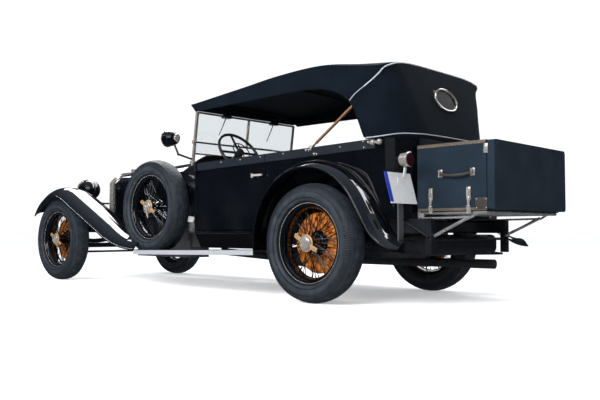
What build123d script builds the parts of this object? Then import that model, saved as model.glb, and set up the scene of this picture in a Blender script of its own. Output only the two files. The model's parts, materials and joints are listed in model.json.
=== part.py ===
from build123d import *
import math
import os

# 1920s open touring car, left-hand drive, with a padded fabric top, wire wheels and a trunk on a rack.
# Millimetres. X points forward, Y to the car's left, Z up from the ground. The origin is the middle of the footprint.

# Driving dimensions
WHEELBASE = 3650
TRACK = 1500
TYRE_RADIUS = 430
TYRE_HALF_WIDTH = 95
RIM_RADIUS = 289
REAR_AXLE_X = -1430
FRONT_AXLE_X = REAR_AXLE_X + WHEELBASE
WHEEL_Y = TRACK / 2

# Ladder frame
RAIL_BOTTOM = 500
RAIL_TOP = 600
RAIL_WIDTH = 50
REAR_RAIL_Y = 530
FRONT_RAIL_Y = 420
FRAME_REAR = -850
FRAME_FRONT = 4050

# Steering
KINGPIN_Y = 590
STEERING_ARM = 180
TIE_ROD_Z = 296

# Body, stations measured forward from the rear axle
SCUTTLE_FRONT = 1950
SCUTTLE_REAR = 1470
BODY_REAR = -720
BODY_HALF_WIDTH = 680
BODY_WALL = 35
BODY_BOTTOM = 500
FLOOR_BOTTOM = 602
FLOOR_TOP = 620
BODY_CORNER = 280
STRIP_HEIGHT = 65
STRIP_PROUD = 8
HINGE_X = 1436
HINGE_Y = 690
HINGE_RADIUS = 8
WAIST_FRONT_Z = 1100
WAIST_REAR_Z = 1150
DOOR_FRONT = 1428
DOOR_REAR = 575
DOOR_GAP = 6
SHEET = 6

# Bonnet
BONNET_FRONT = 3410
BONNET_GAP = 6
BONNET_FRONT_HALF = 275
BONNET_REAR_HALF = 440
BONNET_FRONT_CROWN = 1150
BONNET_REAR_CROWN = 1190
BONNET_FRONT_SHOULDER = 1035
BONNET_REAR_SHOULDER = 1080
BONNET_SIDE_BOTTOM = 665
LOUVRES = 26
RADIATOR_SLATS = 22

# Wings and running boards
WING_OUTER_Y = 880
REAR_WING_INNER_Y = 684
FRONT_WING_INNER_Y = 495
WING_THICKNESS = 8
WING_DOME = 50
WING_BEAD = 7
REAR_WING_RADIUS = 515
FRONT_WING_RADIUS = 455
BOARD_TOP = 372
BOARD_FRONT_TOP = 342
BOARD_REAR = 500
BOARD_FRONT = 2100

# Spare wheels
SPARE_STATION = 2006
SPARE_Y = 717
SPARE_Z = 735

# Trunk
TRUNK_FRONT = -735
TRUNK_REAR = -1305
TRUNK_HALF_WIDTH = 515
TRUNK_BOTTOM = 646
TRUNK_TOP = 1090
LID_THICKNESS = 50
LID_GAP = 5
TRUNK_WALL = 14

# Fabric top
TOP_SKIN = 12
VALANCE_Z = 1570
REAR_WINDOW_WIDTH = 310
REAR_WINDOW_HEIGHT = 180


def st(station):
    """A place measured forward from the rear axle, in the car's own frame."""
    return REAR_AXLE_X + station


def box(x0, x1, y0, y1, z0, z1):
    return Pos((x0 + x1) / 2, (y0 + y1) / 2, (z0 + z1) / 2) * Box(abs(x1 - x0), abs(y1 - y0), abs(z1 - z0))


def rod(start, end, radius):
    """A round bar between two points."""
    a = Vector(*start)
    axis = Vector(*end) - a
    low = (Align.CENTER, Align.CENTER, Align.MIN)
    return Plane(origin=a, z_dir=axis) * Cylinder(radius, axis.length, align=low)


def flat_bar(start, end, width, depth):
    """A rectangular bar between two points."""
    a = Vector(*start)
    axis = Vector(*end) - a
    low = (Align.CENTER, Align.CENTER, Align.MIN)
    return Plane(origin=a, z_dir=axis) * Box(width, depth, axis.length, align=low)


def tube_run(points, radius):
    """Round bars end to end, with a ball at each inner corner."""
    pieces = [rod(a, b, radius) for a, b in zip(points, points[1:])]
    pieces += [Pos(*p) * Sphere(radius) for p in points[1:-1]]
    return joined(pieces)


def slab_y(points, y0, y1):
    """A side outline of (x, z) points, carried across the car."""
    outline = Polyline(*[(x, y0, z) for x, z in points], close=True)
    return extrude(make_face(outline), amount=y1 - y0, dir=(0, 1, 0))


def slab_x(points, x0, x1):
    """A front outline of (y, z) points, carried along the car."""
    outline = Polyline(*[(x0, y, z) for y, z in points], close=True)
    return extrude(make_face(outline), amount=x1 - x0, dir=(1, 0, 0))


def slab_z(points, z0, z1):
    """A plan outline of (x, y) points, carried upwards."""
    outline = Polyline(*[(x, y, z0) for x, y in points], close=True)
    return extrude(make_face(outline), amount=z1 - z0, dir=(0, 0, 1))


def turned(outline):
    """A section of (radius, y) points turned about the Y axis."""
    edges = Polyline(*[(r, y, 0) for r, y in outline], close=True)
    return revolve(make_face(edges), axis=Axis.Y, revolution_arc=360)


def joined(pieces):
    return pieces[0] + pieces[1:] if len(pieces) > 1 else pieces[0]


def mirrored(piece):
    return mirror(piece, about=Plane.XZ)


def save(name, *pieces):
    solids = [solid for piece in pieces for solid in piece.solids()]
    export_step(solids[0] if len(solids) == 1 else Compound(solids), f"parts/{name}.step")


# Wheels

SPOKE_ROWS = (
    # hub radius, hub y, rim radius, rim y, count, lead in degrees
    (58, -44, 252, -20, 20, 22),
    (46, 44, 256, 4, 20, 12),
    (46, 60, 252, 18, 20, 26),
)
SPOKE = 5
HUB_BORE = 26
SPINDLE = 25
DRUM_RADIUS = 190
DRUM_INNER = -105
DRUM_OUTER = -50
DRUM_FINS = 5
DRUM_RIBS = 24


def tyre():
    """Tyre section: beads beside the rim, round side walls and a crowned tread."""
    bead = 53
    edges = [
        Line((276, -bead), (276, bead)),
        Line((276, bead), (291, bead)),
        Line((291, bead), (294, 64)),
        ThreePointArc((294, 64), (350, TYRE_HALF_WIDTH), (412, 72)),
        ThreePointArc((412, 72), (TYRE_RADIUS, 0), (412, -72)),
        ThreePointArc((412, -72), (350, -TYRE_HALF_WIDTH), (294, -64)),
        Line((294, -64), (291, -bead)),
        Line((291, -bead), (276, -bead)),
    ]
    return revolve(make_face(edges), axis=Axis.Y, revolution_arc=360)


def rim():
    well = [(289, 54), (289, 60), (268, 60), (255, 40), (248, 20)]
    inner = [(r, -y) for r, y in reversed(well)]
    return turned(well + inner + [(275.5, -54), (275.5, 54)])


def hub(bore):
    outline = [(66, -50), (66, -38), (50, -30), (46, 50), (52, 56), (52, 66), (44, 70), (44, 88), (30, 104), (0, 104)]
    inner = [(0, 80), (bore, 80), (bore, -50)] if bore else [(0, -50)]
    body = turned(outline + inner)
    ears = box(-14, 14, 84, 98, -78, 78)
    return body + (ears - Pos(0, 91, 0) * Rot(90, 0, 0) * Cylinder(40, 30))


def spokes():
    bars = []
    for hub_r, hub_y, rim_r, rim_y, count, lead in SPOKE_ROWS:
        for i in range(count):
            foot = math.radians(360 * i / count)
            head = foot + math.radians(lead if i % 2 else -lead)
            start = (hub_r * math.cos(foot), hub_y, hub_r * math.sin(foot))
            end = (rim_r * math.cos(head), rim_y, rim_r * math.sin(head))
            bars.append(flat_bar(start, end, SPOKE, SPOKE))
    return bars


def drum():
    """Brake drum: an open cup with fins round its rim and ribs on its face."""
    wall = 8
    fin_root = DRUM_RADIUS - 10
    outline = [(HUB_BORE, DRUM_OUTER), (DRUM_RADIUS, DRUM_OUTER)]
    pitch = (DRUM_OUTER - DRUM_INNER) / DRUM_FINS
    for i in range(DRUM_FINS):
        top = DRUM_OUTER - i * pitch
        outline += [(DRUM_RADIUS, top - pitch / 2), (fin_root, top - pitch / 2), (fin_root, top - pitch)]
        if i < DRUM_FINS - 1:
            outline.append((DRUM_RADIUS, top - pitch))
    outline += [(fin_root - wall, DRUM_INNER), (fin_root - wall, DRUM_OUTER - wall), (HUB_BORE, DRUM_OUTER - wall)]
    ribs = []
    for i in range(DRUM_RIBS):
        rib = box(80, DRUM_RADIUS - 6, DRUM_OUTER - 2, DRUM_OUTER + 7, -3, 3)
        ribs.append(Rot(0, 360 * i / DRUM_RIBS, 0) * rib)
    return [turned(outline)] + ribs


def wheels():
    one_tyre = tyre()
    lacing = spokes()
    road_wheel = joined([rim(), hub(HUB_BORE)] + drum() + lacing)
    clamp = flat_bar((0, 108, 0), (-38, 108, -92), 10, 16)
    spare_wheel = joined([rim(), hub(0), clamp] + lacing)
    corners = (("front", FRONT_AXLE_X), ("rear", REAR_AXLE_X))
    for end, x in corners:
        left_wheel = Pos(x, WHEEL_Y, TYRE_RADIUS) * road_wheel
        left_tyre = Pos(x, WHEEL_Y, TYRE_RADIUS) * one_tyre
        save(f"wire_wheel_{end}_left", left_wheel)
        save(f"wire_wheel_{end}_right", mirrored(left_wheel))
        save(f"tyre_{end}_left", left_tyre)
        save(f"tyre_{end}_right", mirrored(left_tyre))
    spare = Pos(st(SPARE_STATION), SPARE_Y, SPARE_Z)
    save("spare_wheels", spare * spare_wheel, mirrored(spare * spare_wheel))
    save("spare_tyres", spare * one_tyre, mirrored(spare * one_tyre))


# Chassis

def frame(engine_block):
    rail = slab_z([
        (st(FRAME_REAR), REAR_RAIL_Y), (st(1200), REAR_RAIL_Y), (st(3000), FRONT_RAIL_Y), (st(FRAME_FRONT), FRONT_RAIL_Y),
        (st(FRAME_FRONT), FRONT_RAIL_Y - RAIL_WIDTH), (st(3000), FRONT_RAIL_Y - RAIL_WIDTH),
        (st(1200), REAR_RAIL_Y - RAIL_WIDTH), (st(FRAME_REAR), REAR_RAIL_Y - RAIL_WIDTH),
    ], RAIL_BOTTOM, RAIL_TOP)
    horn = box(st(FRAME_REAR), st(FRAME_REAR + 45), REAR_RAIL_Y - RAIL_WIDTH, REAR_RAIL_Y, 356, RAIL_BOTTOM)
    dumb_iron = slab_y([
        (st(FRAME_FRONT - 260), RAIL_BOTTOM), (st(FRAME_FRONT), RAIL_TOP), (st(FRAME_FRONT + 60), 560),
        (st(FRAME_FRONT + 78), 500), (st(FRAME_FRONT + 60), 470), (st(FRAME_FRONT - 20), 480),
    ], FRONT_RAIL_Y - RAIL_WIDTH, FRONT_RAIL_Y)
    front_shackle = box(st(3188), st(3216), FRONT_RAIL_Y - RAIL_WIDTH, FRONT_RAIL_Y, 478, RAIL_BOTTOM)
    rear_shackle = box(st(628), st(660), REAR_RAIL_Y - RAIL_WIDTH, REAR_RAIL_Y, 400, RAIL_BOTTOM)
    brace = rod((st(-640), REAR_RAIL_Y + 6, 584), (st(-832), REAR_RAIL_Y + 6, 476), 9)
    side = [rail, horn, dumb_iron, front_shackle, rear_shackle, brace]
    cross = []
    for station, half in ((-700, 500), (330, 500), (1250, 500), (2050, 450), (3440, 400), (3900, 400)):
        cross.append(box(st(station - 30), st(station + 30), -half, half, RAIL_BOTTOM + 10, RAIL_TOP - 20))
    tie = rod((st(FRAME_REAR + 20), -REAR_RAIL_Y, 458), (st(FRAME_REAR + 20), REAR_RAIL_Y, 458), 10)
    ladder = joined(side + [mirrored(piece) for piece in side] + cross + [tie])
    ladder -= engine_block
    save("frame", ladder)
    return ladder


def leaf_spring(x_mid, y_mid, reach, end_z, middle_top, middle, tip):
    """A semi-elliptic spring, thick in the middle and thin at the eyes."""
    width = 56
    y0 = y_mid - width / 2
    top = ThreePointArc((x_mid - reach, y0, end_z), (x_mid, y0, middle_top), (x_mid + reach, y0, end_z))
    low = ThreePointArc(
        (x_mid + reach, y0, end_z - tip), (x_mid, y0, middle_top - middle), (x_mid - reach, y0, end_z - tip))
    ends = [
        Line((x_mid + reach, y0, end_z), (x_mid + reach, y0, end_z - tip)),
        Line((x_mid - reach, y0, end_z - tip), (x_mid - reach, y0, end_z)),
    ]
    face = make_face([top, ends[0], low, ends[1]])
    return extrude(face, amount=width, dir=(0, 1, 0))


def springs():
    front = leaf_spring(FRONT_AXLE_X, 395, 450, 470, 430, 44, 14)
    rear = leaf_spring(REAR_AXLE_X - 80, 500, 720, 352, 382, 60, 16)
    save("leaf_springs", front, mirrored(front), rear, mirrored(rear))


def front_axle():
    beam = slab_x([
        (-590, 402), (-545, 402), (-500, 336), (500, 336), (545, 402), (590, 402),
        (590, 458), (540, 458), (475, 385), (-475, 385), (-540, 458), (-590, 458),
    ], FRONT_AXLE_X - 26, FRONT_AXLE_X + 26)
    pieces = [beam]
    for y in (-KINGPIN_Y, KINGPIN_Y):
        pieces.append(Pos(FRONT_AXLE_X, y, TYRE_RADIUS) * Cylinder(34, 66))
    axle = joined(pieces)
    for y in (-KINGPIN_Y, KINGPIN_Y):
        axle -= Pos(FRONT_AXLE_X, y, TYRE_RADIUS) * Cylinder(16, 200)
    save("front_axle", axle)


def knuckle():
    """Left stub axle: kingpin, yoke, brake plate, spindle and steering arm."""
    x = FRONT_AXLE_X
    plate_y = WHEEL_Y + DRUM_INNER - 14
    pieces = [
        Pos(x, KINGPIN_Y, TYRE_RADIUS) * Cylinder(15, 120),
        Pos(x, KINGPIN_Y, 479) * Cylinder(34, 24),
        Pos(x, KINGPIN_Y, 381) * Cylinder(34, 24),
        box(x - 30, x + 30, KINGPIN_Y, plate_y + 4, 467, 491),
        box(x - 30, x + 30, KINGPIN_Y, plate_y + 4, 369, 393),
        Pos(x, plate_y + 4, TYRE_RADIUS) * Rot(90, 0, 0) * Cylinder(184, 8),
        rod((x, plate_y, TYRE_RADIUS), (x, WHEEL_Y + 74, TYRE_RADIUS), SPINDLE),
        flat_bar((x, KINGPIN_Y, 376), (x - STEERING_ARM, KINGPIN_Y, 326), 26, 22),
        Pos(x - STEERING_ARM, KINGPIN_Y, 324) * Cylinder(18, 28),
        Pos(x - STEERING_ARM, KINGPIN_Y, 300) * Cylinder(8, 32),
    ]
    left = joined(pieces)
    save("knuckle_left", left)
    save("knuckle_right", mirrored(left))


def tie_rod():
    x = FRONT_AXLE_X - STEERING_ARM
    bar = rod((x, -KINGPIN_Y, TIE_ROD_Z), (x, KINGPIN_Y, TIE_ROD_Z), 11)
    pieces = [bar]
    for y in (-KINGPIN_Y, KINGPIN_Y):
        pieces.append(Pos(x, y, TIE_ROD_Z) * Cylinder(20, 20))
    link = joined(pieces)
    for y in (-KINGPIN_Y, KINGPIN_Y):
        link -= Pos(x, y, TIE_ROD_Z) * Cylinder(10, 60)
    save("tie_rod", link)


def rear_axle():
    x = REAR_AXLE_X
    plate_y = WHEEL_Y + DRUM_INNER - 14
    reach = WHEEL_Y + 74
    pieces = [
        rod((x, -plate_y, TYRE_RADIUS), (x, plate_y, TYRE_RADIUS), 44),
        Pos(x, 0, TYRE_RADIUS) * Sphere(135),
        rod((x, -reach, TYRE_RADIUS), (x, reach, TYRE_RADIUS), SPINDLE),
        rod((x, 0, TYRE_RADIUS), (st(1540), 0, 440), 42),
    ]
    for side in (-1, 1):
        pieces.append(Pos(x, side * (plate_y + 4), TYRE_RADIUS) * Rot(90, 0, 0) * Cylinder(184, 8))
    save("rear_axle", joined(pieces))


def engine():
    block = box(st(2200), st(3280), -190, 190, 420, 960)
    sump = box(st(2260), st(3180), -120, 120, 250, 420)
    gearbox = box(st(1545), st(2200), -140, 140, 360, 650)
    power_unit = joined([block, sump, gearbox])
    save("engine_block", power_unit)
    return power_unit


def exhaust(engine_block):
    y = -400
    pipe = tube_run([
        (st(2500), -185, 700), (st(2420), -330, 620), (st(2250), -340, 300), (st(1500), y + 40, 262),
        (st(700), y, 262), (st(-800), y, 266),
    ], 36)
    silencer = rod((st(1450), y + 38, 262), (st(760), y + 3, 262), 78)
    save("exhaust", pipe + silencer - engine_block)


def fuel_tank():
    drum_shape = box(st(-800), st(-560), -430, 430, 345, 490)
    tank = fillet(drum_shape.edges().filter_by(Axis.Y), 50)
    save("fuel_tank", tank + Pos(st(-600), 300, 500) * Cylinder(25, 40))


# Wings, boards and aprons

def rear_wing_face(inner_y, base_z, x):
    """The rear wing's domed section, standing across the start of its path, which there runs straight up."""
    y_mid = inner_y + (WING_OUTER_Y - inner_y) * 0.62
    crest = WING_DOME * 0.86 + 6
    t = WING_THICKNESS
    skin = [
        ThreePointArc((x + WING_DOME, inner_y, base_z), (x + crest, y_mid, base_z), (x, WING_OUTER_Y, base_z)),
        Line((x, WING_OUTER_Y, base_z), (x - t, WING_OUTER_Y, base_z)),
        ThreePointArc(
            (x - t, WING_OUTER_Y, base_z), (x + crest - t, y_mid, base_z), (x + WING_DOME - t, inner_y, base_z)),
        Line((x + WING_DOME - t, inner_y, base_z), (x + WING_DOME, inner_y, base_z)),
    ]
    return make_face(skin)


def on_circle(cx, cz, radius, degrees):
    a = math.radians(degrees)
    return (cx + radius * math.cos(a), cz + radius * math.sin(a))


def rear_wing():
    cx, cz = st(-20), 455
    front_x = cx + REAR_WING_RADIUS
    leave = 147
    tail_radius = 300
    y = WING_OUTER_Y
    start = (front_x, BOARD_TOP)
    top_of_rise = (front_x, cz)
    crest = on_circle(cx, cz, REAR_WING_RADIUS, leave / 2)
    end_arc = on_circle(cx, cz, REAR_WING_RADIUS, leave)
    down = (-math.sin(math.radians(leave)), math.cos(math.radians(leave)))
    run = 237
    knee = (end_arc[0] + down[0] * run, end_arc[1] + down[1] * run)
    slope = math.degrees(math.atan2(-down[1], -down[0]))
    tail_centre = (knee[0] - tail_radius * math.sin(math.radians(slope)),
                   knee[1] + tail_radius * math.cos(math.radians(slope)))
    tail_mid = on_circle(*tail_centre, tail_radius, -90 + slope / 2)
    tail_end = on_circle(*tail_centre, tail_radius, -90)
    edges = [
        Line((start[0], y, start[1]), (top_of_rise[0], y, top_of_rise[1])),
        ThreePointArc((top_of_rise[0], y, top_of_rise[1]), (crest[0], y, crest[1]), (end_arc[0], y, end_arc[1])),
        Line((end_arc[0], y, end_arc[1]), (knee[0], y, knee[1])),
        ThreePointArc((knee[0], y, knee[1]), (tail_mid[0], y, tail_mid[1]), (tail_end[0], y, tail_end[1])),
    ]
    wing = sweep(rear_wing_face(REAR_WING_INNER_Y, start[1], start[0]), path=Wire(edges))
    bead_face = make_face(Plane(origin=(start[0], y, start[1]), z_dir=(0, 0, 1)) * Circle(WING_BEAD))
    wing += sweep(bead_face, path=Wire(edges))
    save("rear_wings", wing, mirrored(wing))
    return wing


def front_wing(board):
    """Deep domed wing: over the wheel, down in a straight run, then level out into the running board."""
    y = WING_OUTER_Y
    tip_angle, leave = 33, 115.2
    run_end_x = st(2680)
    flow_radius = 1340
    fall = math.radians(leave - 90)
    tip = on_circle(FRONT_AXLE_X, TYRE_RADIUS, FRONT_WING_RADIUS, tip_angle)
    crest = on_circle(FRONT_AXLE_X, TYRE_RADIUS, FRONT_WING_RADIUS, (tip_angle + leave) / 2)
    end_arc = on_circle(FRONT_AXLE_X, TYRE_RADIUS, FRONT_WING_RADIUS, leave)
    run_end = (run_end_x, end_arc[1] - (end_arc[0] - run_end_x) * math.tan(fall))
    flow_centre = (run_end[0] - flow_radius * math.sin(fall), run_end[1] + flow_radius * math.cos(fall))
    flow_mid = on_circle(*flow_centre, flow_radius, -90 + (leave - 90) / 2)
    flow_end = on_circle(*flow_centre, flow_radius, -90)
    edges = [
        ThreePointArc((tip[0], y, tip[1]), (crest[0], y, crest[1]), (end_arc[0], y, end_arc[1])),
        Line((end_arc[0], y, end_arc[1]), (run_end[0], y, run_end[1])),
        ThreePointArc((run_end[0], y, run_end[1]), (flow_mid[0], y, flow_mid[1]), (flow_end[0], y, flow_end[1])),
    ]
    out = Vector(math.cos(math.radians(tip_angle)), 0, math.sin(math.radians(tip_angle)))
    origin = Vector(tip[0], 0, tip[1])

    def place(across, rise):
        p = origin + out * rise
        return (p.X, across, p.Z)

    t = WING_THICKNESS
    inner = FRONT_WING_INNER_Y
    skin = [
        ThreePointArc(place(y, 0), place(805, 74), place(680, 94)),
        ThreePointArc(place(680, 94), place(585, 84), place(inner, 44)),
        Line(place(inner, 44), place(inner + 4, 44 - t)),
        ThreePointArc(place(inner + 4, 44 - t), place(587, 84 - t), place(680, 94 - t)),
        ThreePointArc(place(680, 94 - t), place(799, 74 - t), place(y - t, 0)),
        Line(place(y - t, 0), place(y, 0)),
    ]
    wing = sweep(make_face(skin), path=Wire(edges))
    bead = sweep(
        make_face(Plane(origin=(tip[0], y, tip[1]), z_dir=(-out.Z, 0, out.X)) * Circle(WING_BEAD)),
        path=Wire(edges))
    wing = wing + bead - spare_well() - board
    save("front_wings", wing, mirrored(wing))


def spare_well():
    """The room that the spare tyre takes in a wing and a running board."""
    room = Cylinder(TYRE_RADIUS + 8, 2 * TYRE_HALF_WIDTH + 16)
    return Pos(st(SPARE_STATION), SPARE_Y, SPARE_Z) * Rot(90, 0, 0) * room


def boards():
    inner = 600
    rear, front = st(BOARD_REAR), st(BOARD_FRONT)
    thick, lip_height = 18, 37
    plate = slab_y([
        (rear, BOARD_TOP), (front, BOARD_FRONT_TOP), (front, BOARD_FRONT_TOP - thick), (rear, BOARD_TOP - thick),
    ], inner, WING_OUTER_Y + 5)
    lip = slab_y([
        (rear, BOARD_TOP), (front, BOARD_FRONT_TOP),
        (front, BOARD_FRONT_TOP - lip_height), (rear, BOARD_TOP - lip_height),
    ], WING_OUTER_Y - 3, WING_OUTER_Y + 5)
    board = plate + lip - spare_well()
    save("running_boards", board, mirrored(board))
    apron = slab_x([(662, 494), (668, 494), (606, BOARD_TOP), (600, BOARD_TOP)], st(BOARD_REAR + 40), st(SCUTTLE_REAR))
    ledge = slab_z([
        (st(SCUTTLE_FRONT + 2), BONNET_REAR_HALF + 4), (st(BONNET_FRONT - 6), BONNET_FRONT_HALF + 104),
        (st(BONNET_FRONT - 6), BONNET_FRONT_HALF - 4), (st(SCUTTLE_FRONT + 2), BONNET_REAR_HALF - 20),
    ], RAIL_TOP, BONNET_SIDE_BOTTOM - 6)
    save("aprons", apron, mirrored(apron), ledge, mirrored(ledge))
    return board


# Body

def plan_wire(z, rear, front, half, corner):
    """Plan outline of the body: straight sides and two round rear corners."""
    edges = [
        Line((front, -half, z), (front, half, z)),
        Line((front, half, z), (rear + corner, half, z)),
        RadiusArc((rear + corner, half, z), (rear, half - corner, z), -corner),
        Line((rear, half - corner, z), (rear, -half + corner, z)),
        RadiusArc((rear, -half + corner, z), (rear + corner, -half, z), -corner),
        Line((rear + corner, -half, z), (front, -half, z)),
    ]
    return edges


def tub_block(rear, front, half, corner, z0, z1):
    return extrude(make_face(plan_wire(z0, rear, front, half, corner)), amount=z1 - z0, dir=(0, 0, 1))


def waist_z(station):
    share = (station - BODY_REAR) / (SCUTTLE_REAR - BODY_REAR)
    return WAIST_REAR_Z + share * (WAIST_FRONT_Z - WAIST_REAR_Z)


HINGE_SPANS = (
    # bottom and top of the door's knuckle; the body's knuckle sits on it
    (610, 640),
    (974, 1004),
)


def body_tub():
    outer = tub_block(st(BODY_REAR), st(SCUTTLE_REAR), BODY_HALF_WIDTH, BODY_CORNER, BODY_BOTTOM, 1200)
    inner = tub_block(
        st(BODY_REAR + BODY_WALL), st(SCUTTLE_REAR + 50), BODY_HALF_WIDTH - BODY_WALL, BODY_CORNER - BODY_WALL, FLOOR_TOP, 1300)
    cover = slab_y([
        (st(BODY_REAR - 100), waist_z(BODY_REAR - 100)), (st(SCUTTLE_REAR + 50), waist_z(SCUTTLE_REAR + 50)),
        (st(SCUTTLE_REAR + 50), 1400), (st(BODY_REAR - 100), 1400),
    ], -800, 800)
    arch_wall = 24
    arch_y = 600
    arch_radius = 520
    tub = outer - inner
    for side in (-1, 1):
        house = Pos(REAR_AXLE_X, side * (arch_y + 38), TYRE_RADIUS) * Rot(90, 0, 0) * Cylinder(arch_radius + arch_wall, 124)
        above_floor = box(st(-800), st(800), -700, 700, FLOOR_BOTTOM, 1100)
        tub += house & outer & above_floor
    for side in (-1, 1):
        hollow = Pos(REAR_AXLE_X, side * (arch_y + 100), TYRE_RADIUS) * Rot(90, 0, 0) * Cylinder(arch_radius, 200)
        tub -= hollow
    for side in (-1, 1):
        y0, y1 = sorted((side * (BODY_HALF_WIDTH - BODY_WALL - 5), side * (BODY_HALF_WIDTH + 5)))
        tub -= box(st(DOOR_REAR), st(DOOR_FRONT + 2), y0, y1, 520, 1300)
    under_floor = box(st(BODY_REAR - 50), st(SCUTTLE_REAR + 50), -645, 645, BODY_BOTTOM - 50, FLOOR_BOTTOM)
    under_tail = box(st(BODY_REAR - 50), st(-250), -800, 800, BODY_BOTTOM - 50, FLOOR_BOTTOM)
    tub = tub - cover - under_floor - under_tail
    strip = tub_block(
        st(BODY_REAR) - STRIP_PROUD, st(SCUTTLE_REAR), BODY_HALF_WIDTH + STRIP_PROUD, BODY_CORNER + STRIP_PROUD,
        1000, 1200)
    strip -= tub_block(st(BODY_REAR), st(SCUTTLE_REAR), BODY_HALF_WIDTH, BODY_CORNER, 990, 1210)
    below = slab_y([
        (st(BODY_REAR - 100), 900), (st(SCUTTLE_REAR + 50), 900),
        (st(SCUTTLE_REAR + 50), waist_z(SCUTTLE_REAR + 50) - STRIP_HEIGHT),
        (st(BODY_REAR - 100), waist_z(BODY_REAR - 100) - STRIP_HEIGHT),
    ], -800, 800)
    door_room = box(st(DOOR_REAR), st(HINGE_X + 16), -800, 800, 900, 1300)
    tub += strip - cover - below - door_room
    for side in (-1, 1):
        for low, high in HINGE_SPANS:
            leaf = box(st(HINGE_X), st(HINGE_X + 30), side * 679, side * 688, high, high + 28)
            tub += leaf + Pos(st(HINGE_X), side * HINGE_Y, high + 14) * Cylinder(HINGE_RADIUS, 28)
    save("body_tub", tub)


def doors():
    gap = DOOR_GAP
    outer = BODY_HALF_WIDTH
    x0, x1 = st(DOOR_REAR + gap), st(DOOR_FRONT + 2 - gap)
    z0, z1 = waist_z(DOOR_REAR), waist_z(DOOR_FRONT)
    pieces = [
        slab_y([(x0, 520 + gap), (x1, 520 + gap), (x1, z1), (x0, z0)], outer - BODY_WALL, outer),
        slab_y([(x0, z0 - STRIP_HEIGHT), (x1, z1 - STRIP_HEIGHT), (x1, z1), (x0, z0)], outer - 1, outer + STRIP_PROUD),
        box(x0, x1, outer - 1, outer + 4, 528, 538),
        rod((st(640), outer - 1, 956), (st(640), outer + 30, 956), 7),
        box(st(588), st(704), outer + 24, outer + 36, 948, 964),
        box(st(694), st(706), outer + 22, outer + 38, 938, 974),
    ]
    for low, high in HINGE_SPANS:
        pieces.append(box(st(HINGE_X - 54), st(HINGE_X - 12), outer - 1, outer + 7, low, high - 1))
        pieces.append(box(st(HINGE_X - 12), st(HINGE_X), outer + 1, outer + 7, low, high - 1))
        pieces.append(rod((st(HINGE_X), HINGE_Y, low), (st(HINGE_X), HINGE_Y, high - 1), HINGE_RADIUS))
    left = joined(pieces)
    save("door_left", left)
    save("door_right", mirrored(left))


def scuttle_section(x, half, crown, shoulder, drop=0):
    """Front outline of bonnet and scuttle: upright sides, round shoulders, crowned top."""
    h = half - drop
    bottom = BODY_BOTTOM + drop * 2
    return [
        Line((x, -h, bottom), (x, -h, shoulder - drop)),
        ThreePointArc((x, -h, shoulder - drop), (x, -h * 0.72, crown - drop - (crown - shoulder) * 0.34), (x, 0, crown - drop)),
        ThreePointArc((x, 0, crown - drop), (x, h * 0.72, crown - drop - (crown - shoulder) * 0.34), (x, h, shoulder - drop)),
        Line((x, h, shoulder - drop), (x, h, bottom)),
        Line((x, h, bottom), (x, -h, bottom)),
    ]


def scuttle():
    skin = 12
    front, rear = st(SCUTTLE_FRONT), st(SCUTTLE_REAR)
    outer = loft([
        make_face(scuttle_section(rear, 672, 1188, WAIST_FRONT_Z - 20)),
        make_face(scuttle_section(front, BONNET_REAR_HALF, BONNET_REAR_CROWN, BONNET_REAR_SHOULDER)),
    ], ruled=True)
    inner = loft([
        make_face(scuttle_section(rear - 1, 672, 1188, WAIST_FRONT_Z - 20, skin)),
        make_face(scuttle_section(front - 20, BONNET_REAR_HALF, BONNET_REAR_CROWN, BONNET_REAR_SHOULDER, skin)),
    ], ruled=True)
    shell = outer - inner
    for side in (-1, 1):
        shell -= box(st(1400), st(2100), side * 300, side * 560, BODY_BOTTOM - 10, RAIL_TOP + 1)
    shell -= box(st(1400), st(2000), -150, 150, BODY_BOTTOM - 10, 660)
    shell += box(st(SCUTTLE_REAR + 12), st(SCUTTLE_REAR + 30), -700, 700, 900, 1300) & inner
    shell -= rod(column_point(40), column_point(1000), 26)
    save("scuttle", shell)
    return shell


def louvres(front, rear):
    """A row of raised upright louvres along the left bonnet side."""
    length = front - rear
    taper = math.degrees(math.atan2(BONNET_REAR_HALF - BONNET_FRONT_HALF, length))
    blades = []
    for i in range(LOUVRES):
        share = (i + 1.5) / (LOUVRES + 2)
        y = BONNET_REAR_HALF + share * (BONNET_FRONT_HALF - BONNET_REAR_HALF)
        blade = slab_z([(0, -2), (0, 7), (6, 7), (20, -2)], 770, 970)
        blades.append(Pos(rear + share * length, y, 0) * Rot(0, 0, -taper) * blade)
    return blades


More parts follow.
